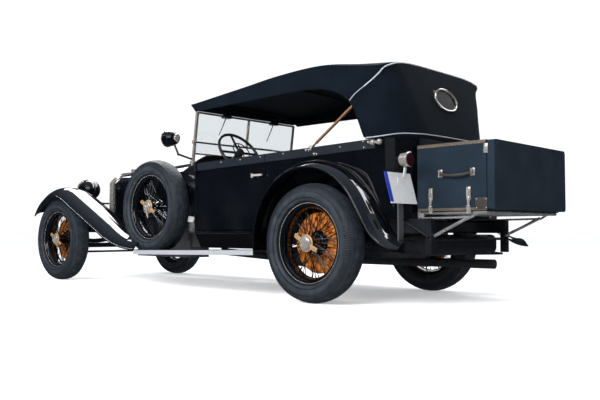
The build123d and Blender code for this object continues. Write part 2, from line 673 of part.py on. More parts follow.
def bonnet():
    f, r = st(BONNET_FRONT), st(SCUTTLE_FRONT + BONNET_GAP)
    t = SHEET
    split = 3

    def top_face(x, half, crown, shoulder):
        y_mid = half * 0.72
        z_mid = crown - (crown - shoulder) * 0.34
        edges = [
            ThreePointArc((x, split, crown), (x, y_mid, z_mid), (x, half, shoulder)),
            Line((x, half, shoulder), (x, half - t, shoulder)),
            ThreePointArc((x, half - t, shoulder), (x, y_mid - t * 0.6, z_mid - t), (x, split, crown - t)),
            Line((x, split, crown - t), (x, split, crown)),
        ]
        return make_face(edges)

    top = loft([
        top_face(r, BONNET_REAR_HALF, BONNET_REAR_CROWN, BONNET_REAR_SHOULDER),
        top_face(f, BONNET_FRONT_HALF, BONNET_FRONT_CROWN, BONNET_FRONT_SHOULDER),
    ], ruled=True)
    gap = 4
    low = BONNET_SIDE_BOTTOM
    rear_face = Polyline(
        (r, BONNET_REAR_HALF, low), (r, BONNET_REAR_HALF, BONNET_REAR_SHOULDER - gap),
        (r, BONNET_REAR_HALF - t, BONNET_REAR_SHOULDER - gap), (r, BONNET_REAR_HALF - t, low), close=True)
    front_face = Polyline(
        (f, BONNET_FRONT_HALF, low), (f, BONNET_FRONT_HALF, BONNET_FRONT_SHOULDER - gap),
        (f, BONNET_FRONT_HALF - t, BONNET_FRONT_SHOULDER - gap), (f, BONNET_FRONT_HALF - t, low), close=True)
    side = joined([loft([make_face(rear_face), make_face(front_face)], ruled=True)] + louvres(f, r))
    save("bonnet_top_left", top)
    save("bonnet_top_right", mirrored(top))
    save("bonnet_sides", side, mirrored(side))


def radiator():
    x0, x1 = st(3416), st(3490)
    half = 290
    edges = [
        Line((x0, -half, 610), (x0, -half, 1040)),
        ThreePointArc((x0, -half, 1040), (x0, -half * 0.7, 1126), (x0, 0, 1168)),
        ThreePointArc((x0, 0, 1168), (x0, half * 0.7, 1126), (x0, half, 1040)),
        Line((x0, half, 1040), (x0, half, 610)),
        Line((x0, half, 610), (x0, -half, 610)),
    ]
    shell = extrude(make_face(edges), amount=x1 - x0, dir=(1, 0, 0))
    window = box(x1 - 22, x1 + 5, -half + 34, half - 34, 680, 1030)
    shell -= window
    slats = []
    for i in range(RADIATOR_SLATS):
        y = -half + 34 + (2 * half - 68) * (i + 0.5) / RADIATOR_SLATS
        slats.append(box(x1 - 24, x1 - 6, y - 3, y + 3, 678, 1032))
    cap = Pos(st(3453), 0, 1186) * Cylinder(30, 50)
    foot = box(x0, x1, -200, 200, RAIL_TOP - 20, 612)
    filler = Pos(st(3453), 0, 1202) * Cylinder(38, 8)
    save("radiator", joined([shell, cap, foot, filler] + slats))


def cap_arc(tip, edge, radius):
    """Section of a ball's cap, from its tip on the X axis to a place that far along and out."""
    centre = (edge ** 2 + radius ** 2 - tip ** 2) / (2 * (edge - tip))
    ball = abs(tip - centre)
    start = 0 if tip > centre else math.pi
    middle = (start + math.atan2(radius, edge - centre)) / 2
    halfway = (centre + ball * math.cos(middle), ball * math.sin(middle), 0)
    return ThreePointArc((tip, 0, 0), halfway, (edge, radius, 0))


def headlamps(ladder):
    """Domed shells on posts, each turned about a level axis."""
    x, y, z = st(3650), 370, 975
    section = [
        cap_arc(0, 100, 109),
        Line((100, 109, 0), (172, 113, 0)),
        Line((172, 113, 0), (172, 119, 0)),
        Line((172, 119, 0), (192, 119, 0)),
        Line((192, 119, 0), (196, 104, 0)),
        cap_arc(210, 196, 104),
        Line((210, 0, 0), (0, 0, 0)),
    ]
    bowl = Pos(x, y, z) * revolve(make_face(section), axis=Axis.X, revolution_arc=360)
    post = rod((x + 110, y, z - 100), (x + 110, FRONT_RAIL_Y - 25, RAIL_TOP - 30), 14)
    lamp = joined([bowl, post])
    bar = rod((x + 110, -y + 8, 830), (x + 110, y - 8, 830), 12)
    save("headlamps", joined([lamp, mirrored(lamp), bar]) - ladder)


# Cabin

def seats():
    z = FLOOR_TOP + 2
    front = joined([box(st(620), st(1130), -600, 600, z, 840), box(st(620), st(740), -600, 600, z, 1085)])
    rear = joined([box(st(-500), st(60), -560, 560, z, 850), box(st(-600), st(-470), -560, 560, z, 1130)])
    save("front_seat", front)
    save("rear_seat", rear)


COLUMN_TOP = (1260, 350, 1205)
COLUMN_ANGLE = 35
STEERING_WHEEL_RADIUS = 210


def column_point(distance):
    a = math.radians(COLUMN_ANGLE)
    return (st(COLUMN_TOP[0]) + distance * math.cos(a), COLUMN_TOP[1], COLUMN_TOP[2] - distance * math.sin(a))


def steering():
    column = rod(column_point(40), column_point(960), 22)
    steering_box = Pos(*column_point(970)) * Sphere(56)
    save("steering_column", column + steering_box - rod(column_point(0), column_point(90), 13))
    axis = Vector(*column_point(1)) - Vector(*column_point(0))
    plane = Plane(origin=column_point(0), z_dir=axis)
    ring = plane * Torus(STEERING_WHEEL_RADIUS, 13)
    boss = plane * Pos(0, 0, 4) * Cylinder(34, 58)
    shaft = plane * Pos(0, 0, 52) * Cylinder(12, 60)
    arms = plane * (Box(2 * STEERING_WHEEL_RADIUS - 6, 22, 8) + Box(22, 2 * STEERING_WHEEL_RADIUS - 6, 8))
    inner_ring = plane * Pos(0, 0, -30) * Torus(85, 5)
    stalk = plane * Pos(0, 0, -20) * Cylinder(16, 40)
    link = plane * Pos(0, 0, -30) * Box(170, 8, 6)
    save("steering_wheel", joined([ring, boss, arms, inner_ring, stalk, link, shaft]))


def rear_window_disc(width, height, thickness):
    """Oval slab lying in the top's sloped rear panel."""
    plane = Plane(origin=(st(-630), 0, 1480), x_dir=(0, 1, 0), z_dir=(0.973, 0, -0.231))
    return extrude(plane * Ellipse(width / 2, height / 2), amount=thickness / 2, both=True)


def windscreen(scuttle_shell):
    low_x, top_x = st(1590), st(1530)
    half = 603
    low_z, mid_z, top_z = 1130, 1305, 1572
    mid_x = low_x + (top_x - low_x) * (mid_z - low_z) / (top_z - low_z)
    sill_x = low_x + (top_x - low_x) * (1205 - low_z) / (top_z - low_z)
    pieces = [
        rod((low_x, -half, low_z), (top_x, -half, top_z), 11),
        rod((low_x, half, low_z), (top_x, half, top_z), 11),
        rod((top_x, -half, top_z - 6), (top_x, half, top_z - 6), 10),
        rod((mid_x, -half, mid_z), (mid_x, half, mid_z), 8),
        rod((sill_x, -half, 1205), (sill_x, half, 1205), 9),
        rod((mid_x, 0, mid_z), (top_x, 0, top_z - 6), 7),
    ]
    for wiper_y in (-300, 300):
        pieces.append(box(top_x - 30, top_x, wiper_y - 18, wiper_y + 18, top_z - 24, top_z - 2))
        pieces.append(rod((top_x - 26, wiper_y, top_z - 20), (top_x - 8, wiper_y + 70, top_z - 190), 4))
    frame_solid = joined(pieces) - scuttle_shell
    lean = (top_x - low_x) / (top_z - low_z)
    save("windscreen_frame", frame_solid)
    panes = []
    for y0, y1, z0, z1 in ((-590, 590, 1217, 1295), (-590, -10, 1316, 1553), (10, 590, 1316, 1553)):
        xa = low_x + lean * (z0 - low_z)
        xb = low_x + lean * (z1 - low_z)
        panes.append(slab_y([(xa - 2.5, z0), (xa + 2.5, z0), (xb + 2.5, z1), (xb - 2.5, z1)], y0, y1))
    rear_light = rear_window_disc(REAR_WINDOW_WIDTH - 2, REAR_WINDOW_HEIGHT - 2, 6)
    save("glass", *panes, rear_light)
    return frame_solid


# Fabric top

TOP_SECTIONS = (
    # station, valance z, valance half, shoulder z, shoulder half, crown z
    (1580, 1565, 660, 1634, 628, 1662),
    (850, 1566, 680, 1708, 625, 1752),
    (50, 1560, 690, 1760, 620, 1800),
    (-300, 1545, 684, 1724, 620, 1758),
    (-740, 1545, 672, 1664, 622, 1698),
)


def top_outline(station, low, low_half, shoulder, shoulder_half, crown, inset, floor):
    x = st(station)
    a, b = low_half - inset, shoulder_half - inset
    s, c = shoulder - inset, crown - inset
    return [
        Line((x, -a, floor), (x, -a, low)),
        Line((x, -a, low), (x, -b - 8, s - 26)),
        Line((x, -b - 8, s - 26), (x, -b + 14, s)),
        ThreePointArc((x, -b + 14, s), (x, 0, c), (x, b - 14, s)),
        Line((x, b - 14, s), (x, b + 8, s - 26)),
        Line((x, b + 8, s - 26), (x, a, low)),
        Line((x, a, low), (x, a, floor)),
        Line((x, a, floor), (x, -a, floor)),
    ]


def top_solid(inset):
    floor = 1120 - inset * 2
    sections = [make_face(top_outline(*row, inset, floor)) for row in TOP_SECTIONS]
    roof = loft(sections, ruled=True)
    rear_low, rear_high = st(-712) + inset, st(-560) + inset
    front = st(1700)
    plan = loft([
        make_face(plan_wire(floor, rear_low - 8, front, 680 - inset, 280)),
        make_face(plan_wire(1760, rear_high - 8, front, 680 - inset, 240)),
    ], ruled=True)
    high = box(st(-400), front, -800, 800, 1700, 1900)
    return roof & (plan + high)


def fabric_top():
    shell = top_solid(0) - top_solid(TOP_SKIN)
    opening = make_face([
        Line((st(1800), -900, 1000), (st(1800), -900, VALANCE_Z)),
        Line((st(1800), -900, VALANCE_Z), (st(-20), -900, VALANCE_Z)),
        ThreePointArc((st(-20), -900, VALANCE_Z), (st(-290), -900, 1430), (st(-410), -900, 1100)),
        Line((st(-410), -900, 1100), (st(-410), -900, 1000)),
        Line((st(-410), -900, 1000), (st(1800), -900, 1000)),
    ])
    shell -= extrude(opening, amount=1800, dir=(0, 1, 0))
    shell -= slab_y([
        (st(-900), 1000), (st(-300), 1000), (st(-300), waist_z(-300) + 2), (st(-900), waist_z(-900) + 2),
    ], -900, 900)
    shell -= rear_window_disc(REAR_WINDOW_WIDTH, REAR_WINDOW_HEIGHT, 90)
    save("fabric_top", shell)


def hood_frame():
    y = 606
    foot_z = waist_z(70)
    pieces = []
    for side in (-1, 1):
        pieces.append(rod((st(1500), side * y, 1590), (st(40), side * y, 1600), 10))
        pieces.append(rod((st(70), side * 655, foot_z + 20), (st(40), side * y, 1600), 10))
        pieces.append(rod((st(70), side * 655, foot_z + 20), (st(-500), side * 570, 1580), 12))
        pieces.append(box(st(50), st(90), side * 646, side * 670, foot_z + 2, foot_z + 36))
    pieces.append(rod((st(40), -y, 1600), (st(40), y, 1600), 10))
    pieces.append(rod((st(1500), -y, 1590), (st(1500), y, 1590), 12))
    pieces.append(rod((st(-500), -570, 1580), (st(-500), 570, 1580), 12))
    save("hood_frame", joined(pieces))


# Trunk, rack and lamps

def trunk():
    front, rear = st(TRUNK_FRONT), st(TRUNK_REAR) + LID_THICKNESS + LID_GAP
    half = TRUNK_HALF_WIDTH
    w = TRUNK_WALL
    case = box(rear, front, -half, half, TRUNK_BOTTOM, TRUNK_TOP)
    case -= box(rear - 5, front - w, -half + w, half - w, TRUNK_BOTTOM + w, TRUNK_TOP - w)
    save("trunk_box", case)
    lid = box(st(TRUNK_REAR), st(TRUNK_REAR) + LID_THICKNESS, -half, half, TRUNK_BOTTOM + 6, TRUNK_TOP)
    save("trunk_lid", fillet(lid.edges().filter_by(Axis.X), 24))


def rack(ladder):
    pieces = []
    front, rear = -725, -1240
    for side in (-1, 1):
        y = side * 490
        pieces.append(rod((st(front), y, 636), (st(rear), y, 636), 10))
        pieces.append(rod((st(front), y, 600), (st(-1130), y, 606), 8))
        pieces.append(rod((st(-1130), y, 606), (st(-1180), y, 636), 8))
        pieces.append(rod((st(-1120), y, 610), (st(-832), y, 476), 11))
        pieces.append(box(st(-770), st(-725), y - 8, y + 8, 580, 640))
    for station in (-760, -950, -1100, -1240):
        pieces.append(rod((st(station), -490, 636), (st(station), 490, 636), 9))
    save("luggage_rack", joined(pieces) - ladder)


def tail_lamp(wing):
    """Leaning plate on a strap from the wing's tail, with a round lamp above it."""
    y = 780
    top, low = (st(-762), 892), (st(-818), 692)
    plate = slab_y([top, low, (low[0] + 4, low[1] - 1), (top[0] + 4, top[1] - 1)], y - 140, y + 140)
    strap = slab_y([
        (low[0] + 34, 860), (low[0] + 44, 860), (st(-778), 640), (st(-778), 451), (st(-790), 451), (st(-790), 640),
    ], y - 25, y + 25)
    drum_outline = [(0, -35), (30, -35), (44, -20), (46, 25), (50, 25), (50, 38), (44, 44), (0, 50)]
    edges = Polyline(*[(-along, radius, 0) for radius, along in drum_outline], close=True)
    lamp = Pos(st(-748), y - 105, 985) * revolve(make_face(edges), axis=Axis.X, revolution_arc=360)
    hanger = flat_bar((st(-752), y - 105, 950), (st(-772), y - 60, 860), 22, 8)
    above_wing = joined([plate, strap, lamp, hanger]) - wing
    save("tail_lamp_and_plate", max(above_wing.solids(), key=lambda solid: solid.volume))


def spot_lamp(screen_frame):
    x, y, z = st(1690), 760, 1335
    cup_outline = [(-66, 0), (-66, 32), (-56, 34), (-34, 56), (8, 67), (56, 71), (62, 75), (72, 73), (76, 0)]
    edges = Polyline(*[(along, radius, 0) for along, radius in cup_outline], close=True)
    cup = Pos(x, y, z) * Rot(0, 0, 8) * revolve(make_face(edges), axis=Axis.X, revolution_arc=360)
    elbow = (st(1622), 745, 1190)
    arm = joined([
        rod((x - 20, y, z - 40), elbow, 9), Pos(*elbow) * Sphere(12), rod(elbow, (st(1586), 608, 1150), 9),
    ])
    save("spot_lamp", cup + arm - screen_frame)


os.makedirs("parts", exist_ok=True)
wheels()
power_unit = engine()
ladder = frame(power_unit)
springs()
front_axle()
knuckle()
tie_rod()
rear_axle()
exhaust(power_unit)
fuel_tank()
left_rear_wing = rear_wing()
board = boards()
front_wing(board)
body_tub()
doors()
scuttle_shell = scuttle()
bonnet()
radiator()
headlamps(ladder)
seats()
steering()
screen_frame = windscreen(scuttle_shell)
fabric_top()
hood_frame()
trunk()
rack(ladder)
tail_lamp(left_rear_wing)
spot_lamp(screen_frame)
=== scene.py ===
import json
from math import copysign, cos, hypot, pi, radians, sin

import bmesh
import bpy
from mathutils import Matrix, Vector
from mathutils.bvhtree import BVHTree


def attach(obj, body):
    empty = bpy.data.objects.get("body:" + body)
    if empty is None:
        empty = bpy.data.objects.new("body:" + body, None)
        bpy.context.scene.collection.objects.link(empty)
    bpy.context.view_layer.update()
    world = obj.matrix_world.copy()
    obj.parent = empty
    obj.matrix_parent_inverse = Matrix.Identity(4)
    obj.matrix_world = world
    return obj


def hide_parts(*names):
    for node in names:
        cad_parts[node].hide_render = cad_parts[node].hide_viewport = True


# Metres. X points forward, Y to the car's left, Z up from the ground.
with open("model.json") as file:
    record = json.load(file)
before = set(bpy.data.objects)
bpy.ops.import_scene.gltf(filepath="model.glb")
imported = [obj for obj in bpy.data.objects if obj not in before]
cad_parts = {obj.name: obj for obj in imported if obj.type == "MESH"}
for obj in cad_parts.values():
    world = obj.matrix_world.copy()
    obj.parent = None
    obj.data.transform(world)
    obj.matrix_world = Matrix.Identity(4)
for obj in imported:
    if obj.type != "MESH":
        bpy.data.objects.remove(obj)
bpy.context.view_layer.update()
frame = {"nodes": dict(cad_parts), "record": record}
NODES = frame["nodes"]

REAR_X = -1.430
FRONT_X = 2.220
WHEEL_Y = 0.750
AXLE_Z = 0.430
TYRE_R = 0.430
SPARE_X = 0.576
SPARE_Y = 0.717
SPARE_Z = 0.735

PAINT = (0.0006, 0.001, 0.0018)
BRIGHT = (0.72, 0.69, 0.64)
PADDING = (0.006, 0.0085, 0.012)

LENS_MM = 42.955
CAMERA_PLACE = (-4.9215, 4.5329, 0.5188)
CAMERA_AIM = (0.6914, -0.7212, 0.0428)


def st(metres):
    """A place measured forward from the rear axle."""
    return REAR_X + metres


# Where the look changes within one solid
STRIP_LOW, STRIP_FALL = 1.0845, 0.02283
STRIP_REAR, TUB_REAR, STRIP_OUT = st(-0.72), st(-0.7205), 0.6805
HANDLE_OUT, HANDLE_Z = 0.6895, (0.93, 0.972)
SPOT_RIM_X, SPOT_STALK_X, SPOT_STALK_Z = st(1.742), st(1.631), 1.29
LAMP_RIM_X = (st(3.8215), st(3.8455))
BOARD_LIP_OUT = 0.879
TAIL_LAMP_Z, TAIL_LENS_X = 0.93, st(-0.790)
PLATE_LOW, PLATE_BAND_Y = 0.69, 0.889
CORE_HALF, CORE_Z, CORE_X = 0.2555, (0.6795, 1.0305), (st(3.460), st(3.4895))
DASH_X, DASH_LOW = (st(1.478), st(1.486)), 0.89


def at(x, y, z):
    """A point, with x measured forward from the rear axle."""
    return Vector((st(x), y, z))


def angles(count, start=0.0):
    """Equal steps of a full turn, the first one start steps round."""
    return [2 * pi * (k + start) / count for k in range(count)]


class Value:
    """A number or colour inside a node tree, so that sums can be written as sums."""

    def __init__(self, net, socket):
        self.net = net
        self.socket = socket

    def __add__(self, other):
        return self.net.math("ADD", self, other)

    def __sub__(self, other):
        return self.net.math("SUBTRACT", self, other)

    def __rsub__(self, other):
        return self.net.math("SUBTRACT", other, self)

    def __mul__(self, other):
        return self.net.math("MULTIPLY", self, other)

    __radd__ = __add__
    __rmul__ = __mul__

    def above(self, other):
        return self.net.math("GREATER_THAN", self, other)

    def below(self, other):
        return self.net.math("LESS_THAN", self, other)

    def between(self, low, high):
        return self.above(low) * self.below(high)

    def of(self, name):
        """A one-number function such as SINE or ABSOLUTE."""
        return self.net.math(name, self, 0.0)

    def waves(self, rate):
        """Even waves between 0 and 1, rate radians to the metre."""
        return (self * rate).of("SINE") * 0.5 + 0.5


class Net:
    """Builds the nodes of one node tree."""

    def __init__(self, tree):
        self.tree = tree

    def feed(self, target, value):
        if isinstance(value, Value):
            self.tree.links.new(value.socket, target)
        else:
            target.default_value = value

    def node(self, kind, settings=None, inputs=None, output=0):
        made = self.tree.nodes.new("ShaderNode" + kind)
        for key, value in (settings or {}).items():
            setattr(made, key, value)
        for key, value in (inputs or {}).items():
            self.feed(made.inputs[key], value)
        return Value(self, made.outputs[output])

    def math(self, name, a, b, c=0.0):
        return self.node("Math", {"operation": name}, {0: a, 1: b, 2: c})

    def mix(self, factor, a, b):
        """Colour a where factor is 0, colour b where it is 1."""
        a, b = [v if isinstance(v, Value) else (*v, 1.0) for v in (a, b)]
        return self.node("Mix", {"data_type": "RGBA"}, {0: factor, 6: a, 7: b}, output=2)


class Look(Net):
    """A material with one Principled shader."""

    def __init__(self, name, colour, roughness, metallic=0.0, coat=0.0, coat_rough=0.03, **more):
        self.material = bpy.data.materials.new(name)
        self.material.use_nodes = True
        super().__init__(self.material.node_tree)
        self.shader = self.tree.nodes["Principled BSDF"]
        self.colour((*colour, 1.0))
        self.rough(roughness)
        self.set("Metallic", metallic)
        self.set("Coat Weight", coat)
        self.set("Coat Roughness", coat_rough)
        for key, value in more.items():
            self.set(key.replace("_", " "), value)
        self._place = None

    def set(self, socket, value):
        self.feed(self.shader.inputs[socket], value)

    def colour(self, value):
        self.set("Base Color", value)

    def rough(self, value):
        self.set("Roughness", value)

    def place(self):
        """The point's place in the car's frame: the point itself, x, y and z."""
        if self._place is None:
            point = self.node("TexCoord", output=3)
            split = self.node("SeparateXYZ", inputs={0: point})
            self._place = point, *[Value(self, out) for out in split.socket.node.outputs]
        return self._place

    def noise(self, scale, detail=3.0, rough=0.5, stretch=(1, 1, 1)):
        scaled = self.node("VectorMath", {"operation": "MULTIPLY"}, {0: self.place()[0], 1: stretch})
        return self.node("TexNoise", inputs={
            "Vector": scaled, "Scale": scale, "Detail": detail, "Roughness": rough})

    def leather_grain(self):
        return self.node("TexVoronoi", inputs={"Vector": self.place()[0], "Scale": 420.0})

    def ramp(self, value, low, high, out_low=0.0, out_high=1.0):
        return self.node("MapRange", inputs={
            "Value": value, "From Min": low, "From Max": high, "To Min": out_low, "To Max": out_high})

    def bump(self, height, distance=1.0, strength=1.0):
        self.set("Normal", self.node("Bump", inputs={
            "Height": height, "Distance": distance, "Strength": strength}))

    def ripples(self):
        """The slow waves of hand-rubbed paint."""
        self.bump(self.noise(5.0, 2.0, 0.5), 0.0004, 0.12)


def enamel(name, dust=0.5):
    """Black coach enamel with a thin film of dust, thicker low down."""
    look = Look(name, PAINT, 0.12, coat=1.0, coat_rough=0.02)
    film = look.noise(3.0, 5.0, 0.6)
    fine = look.noise(240.0, 2.0, 0.5)
    low = look.ramp(look.place()[3], 0.25, 0.75, 1.0, 0.0)
    dirt = look.ramp(film, 0.45, 0.75) * (0.15 + low * 0.6) * dust
    look.colour(look.mix(dirt, PAINT, (0.006, 0.007, 0.009)))
    look.rough(0.07 + dirt * 0.25 + fine * 0.02)
    look.ripples()
    return look.material


def nickel(name, colour=(0.64, 0.60, 0.54), shine=0.84):
    look = Look(name, colour, 0.2, metallic=shine)
    wear = look.noise(14.0, 4.0, 0.6)
    fine = look.noise(300.0, 2.0, 0.5, (1, 1, 4))
    look.rough(0.10 + look.ramp(wear, 0.4, 0.8) * 0.16 + fine * 0.04)
    worn = tuple(0.6 * c for c in colour)
    look.colour(look.mix(look.ramp(wear, 0.45, 0.75) * 0.5, colour, worn))
    return look.material


def chassis_black(name):
    black, grimy = (0.004, 0.005, 0.007), (0.018, 0.018, 0.019)
    look = Look(name, black, 0.3, coat=0.3, coat_rough=0.15)
    grime = look.noise(9.0, 6.0, 0.65)
    look.rough(0.28 + look.ramp(grime, 0.4, 0.75) * 0.35)
    look.colour(look.mix(look.ramp(grime, 0.5, 0.8) * 0.5, black, grimy))
    look.bump(look.noise(160.0, 2.0), 0.0001)
    return look.material


def cast(name, colour, rough=0.55):
    look = Look(name, colour, rough, metallic=0.3)
    grain = look.noise(400.0, 3.0)
    look.rough(rough + (grain - 0.5) * 0.25)
    look.bump(grain, 0.0004)
    return look.material


def rubber(name, shade=1.0):
    look = Look(name, (0.02, 0.021, 0.023), 0.5, Specular_IOR_Level=0.35)
    dust = look.noise(18.0, 5.0, 0.6)
    clean = [c * shade for c in (0.012, 0.0155, 0.02)]
    dusty = [c * shade for c in (0.032, 0.039, 0.047)]
    look.colour(look.mix(look.ramp(dust, 0.4, 0.75) * 0.6, clean, dusty))
    look.rough(0.36 + look.ramp(dust, 0.3, 0.8) * 0.25)
    look.bump(look.noise(500.0, 2.0), 0.0002)
    return look.material


def cloth(name, colour, thread=0.0016, rough=0.85, depth=0.0004, lift=0.5, sheen=0.0):
    """Twill: slanting ribs, with slow fading and small creases; the troughs between the ribs are painted
    darker, as shade.
    """
    look = Look(name, colour, rough, Specular_IOR_Level=0.08, Sheen_Weight=sheen, Sheen_Roughness=0.4,
                Sheen_Tint=(0.55, 0.78, 1.0, 1.0))
    x, y, z = look.place()[1:]
    turn = 2 * pi / thread
    ribs = (x + y + z).waves(turn)
    cross = (x - y + z * 0.6).waves(turn * 0.7)
    fade = look.noise(5.0, 5.0, 0.6)
    weave = ribs * 0.7 + cross * 0.3
    pale = tuple(min(1.0, c * 2.0 + 0.001) for c in colour)
    # The colour goes paler with random fading (lift) and on the raised threads of the weave; the darker
    # troughs are painted shade
    look.colour(look.mix(look.ramp(fade, 0.4, 0.8) * lift + weave * 0.3, colour, pale))
    crease = look.noise(22.0, 4.0, 0.55, (1, 1, 0.5))
    look.bump(weave * depth + crease * 0.0012)
    return look.material


def leather(name, colour=(0.006, 0.0065, 0.008)):
    look = Look(name, colour, 0.42, coat=0.15, coat_rough=0.25)
    grain = look.leather_grain()
    wear = look.noise(8.0, 4.0)
    look.rough(0.36 + look.ramp(wear, 0.4, 0.8) * 0.2)
    look.colour(look.mix(look.ramp(wear, 0.5, 0.8) * 0.5, colour, [2.2 * c for c in colour]))
    look.bump(grain * 0.0003 + wear * 0.0006)
    return look.material


def plain(name, colour, roughness, **more):
    look = Look(name, colour, roughness, **more)
    look.bump(look.noise(200.0, 2.0), 0.00006)
    return look.material


def glass(name, tint=(0.70, 0.735, 0.745)):
    look = Look(name, tint, 0.02, Transmission_Weight=1.0, IOR=1.45)
    smear = look.noise(6.0, 4.0, 0.6, (1, 1, 0.4))
    look.rough(0.01 + look.ramp(smear, 0.5, 0.85) * 0.05)
    return look.material


def drum_copper(name):
    look = Look(name, (0.6, 0.2, 0.04), 0.4, metallic=0.35)
    wear = look.noise(34.0, 4.0, 0.65)
    look.colour(look.mix(look.ramp(wear, 0.42, 0.62), (0.62, 0.20, 0.03), (0.10, 0.03, 0.008)))
    look.rough(0.3 + look.ramp(wear, 0.3, 0.8) * 0.35)
    look.bump(look.noise(260.0, 2.0), 0.0003)
    return look.material


def masked_lamp(name):
    """Black shell, nickel rim and pale lens of the headlamps, told apart by how far forward the point is."""
    look = Look(name, PAINT, 0.1, coat=1.0, coat_rough=0.02)
    x, y = look.place()[1:3]
    rim = x.between(*LAMP_RIM_X)
    lens = x.above(LAMP_RIM_X[1])
    flute = y.waves(520.0)
    shell = look.mix(rim, PAINT, BRIGHT)
    look.colour(look.mix(lens, shell, (0.5, 0.52, 0.53)))
    look.set("Metallic", rim * 0.8 + lens * 0.5)
    look.rough(0.08 + lens * 0.12 + look.noise(14.0, 4.0) * 0.06)
    look.bump(lens * flute * 0.0008 + look.noise(90.0, 1.0) * 0.00004)
    return look.material


def strip_mask(look):
    """The padded strip along the body's top edge: 0 or 1."""
    x, y, z = look.place()[1:]
    low = STRIP_LOW - (x - STRIP_REAR) * STRIP_FALL
    proud = (y.of("ABSOLUTE").above(STRIP_OUT) + x.below(TUB_REAR)).above(0.5)
    return z.above(low) * proud


def coach_paint(name):
    """Coach enamel, dusty low down, with the padded strip: the look, the dust, the strip and the colour."""
    look = Look(name, PAINT, 0.12, coat=1.0, coat_rough=0.02)
    low = look.ramp(look.place()[3], 0.45, 0.75, 1.0, 0.0)
    film = look.ramp(look.noise(3.0, 5.0, 0.6), 0.45, 0.75) * (0.15 + low * 0.5) * 0.5
    strip = strip_mask(look)
    paint = look.mix(film, PAINT, (0.02, 0.02, 0.022))
    return look, film, strip, look.mix(strip, paint, PADDING)


def door_enamel(name):
    """Coach enamel with a nickel handle and a softer padded strip along the top."""
    look, film, strip, paint = coach_paint(name)
    y, z = look.place()[2:]
    handle = y.of("ABSOLUTE").above(HANDLE_OUT) * z.between(*HANDLE_Z)
    look.colour(look.mix(handle, paint, BRIGHT))
    look.set("Metallic", handle * 0.75)
    look.set("Coat Weight", 1.0 - (handle + strip).above(0.5))
    look.rough(0.08 + film * 0.3 + handle * 0.22 + strip * 0.36)
    look.ripples()
    return look.material


def tub_enamel(name):
    """Coach enamel with a soft black leather strip along the top edge and inside."""
    look, film, strip, paint = coach_paint(name)
    look.colour(paint)
    look.set("Coat Weight", 1.0 - strip)
    look.rough(0.08 + film * 0.3 + strip * 0.36)
    look.bump(strip * look.leather_grain() * 0.0005 + look.noise(5.0, 2.0, 0.5) * 0.00005)
    return look.material


def spot_lamp_look(name):
    """Black bowl with nickel rims and stalk."""
    look = Look(name, PAINT, 0.1, coat=0.6, coat_rough=0.02)
    _, x, _, z = look.place()
    rim = (x.above(SPOT_RIM_X) + x.below(SPOT_STALK_X) * z.above(SPOT_STALK_Z)).above(0.5)
    look.colour(look.mix(rim, PAINT, BRIGHT))
    look.set("Metallic", rim * 0.8)
    look.rough(0.1 + look.noise(14.0, 4.0) * 0.06)
    look.ripples()
    return look.material


def running_board(name):
    """Ribbed rubber with a bright lip at the outer edge; the troughs between the ribs are painted darker, as
    shade.
    """
    look = Look(name, (0.02, 0.02, 0.021), 0.6)
    out = look.place()[2].of("ABSOLUTE")
    lip = out.above(BOARD_LIP_OUT)
    ribs = out.waves(2 * pi / 0.011)
    dust = look.ramp(look.noise(12.0, 5.0, 0.6), 0.4, 0.8)
    # Random dust lightens the rubber, and the rubber is painted darker in the troughs between the ribs:
    # painted shade
    rubbery = look.mix(dust * 0.5 + ribs * 0.15, (0.006, 0.006, 0.007), (0.02, 0.02, 0.021))
    look.colour(look.mix(lip, rubbery, (0.52, 0.53, 0.57)))
    look.set("Metallic", lip * 0.65)
    look.rough(0.6 - lip * 0.3 + dust * 0.15)
    look.bump((1.0 - lip) * ribs * 0.0012 + look.noise(500.0, 2.0) * 0.0001)
    return look.material


def plate_and_lamp(name):
    """White plate with a blue band on a dark strap, and above it a nickel lamp with a dark red lens."""
    look = Look(name, (0.8, 0.8, 0.79), 0.4)
    x, y, z = look.place()[1:]
    lamp = z.above(TAIL_LAMP_Z)
    lens = lamp * x.below(TAIL_LENS_X)
    plate_x = st(-0.762) - (0.892 - z) * 0.28
    strap = (1.0 - lamp) * (z.below(PLATE_LOW) + x.above(plate_x + 0.0055)).of("SIGN")
    grime = look.ramp(look.noise(20.0, 5.0, 0.6), 0.45, 0.8)
    white = look.mix(grime * 0.35, (0.36, 0.365, 0.37), (0.25, 0.24, 0.23))
    band = y.above(PLATE_BAND_Y) * z.above(0.7)
    white = look.mix(band, white, (0.006, 0.02, 0.20))
    base = look.mix(strap, white, (0.05, 0.052, 0.055))
    base = look.mix(lamp, base, (0.6, 0.57, 0.52))
    look.colour(look.mix(lens, base, (0.012, 0.0008, 0.0012)))
    look.set("Metallic", (lamp - lens) * 0.85 + strap * 0.4)
    look.rough(0.38 - lamp * 0.24 + grime * 0.15)
    look.bump(look.noise(120.0, 2.0), 0.0001)
    return look.material


def radiator_look(name):
    """Polished shell with a black core behind the front window."""
    look = Look(name, BRIGHT, 0.12, metallic=1.0)
    x, y, z = look.place()[1:]
    inside = y.of("ABSOLUTE").below(CORE_HALF) * z.between(*CORE_Z) * x.between(*CORE_X)
    wear = look.noise(14.0, 4.0, 0.6)
    mesh = z.waves(2 * pi / 0.006)
    shell = look.mix(look.ramp(wear, 0.5, 0.8) * 0.4, BRIGHT, (0.5, 0.46, 0.4))
    look.colour(look.mix(inside, shell, (0.012, 0.012, 0.013)))
    look.set("Metallic", 0.85 - inside * 0.85)
    look.rough(0.08 + look.ramp(wear, 0.4, 0.8) * 0.14 + inside * 0.4)
    look.bump(inside * mesh * 0.0008 + wear * 0.0001)
    return look.material


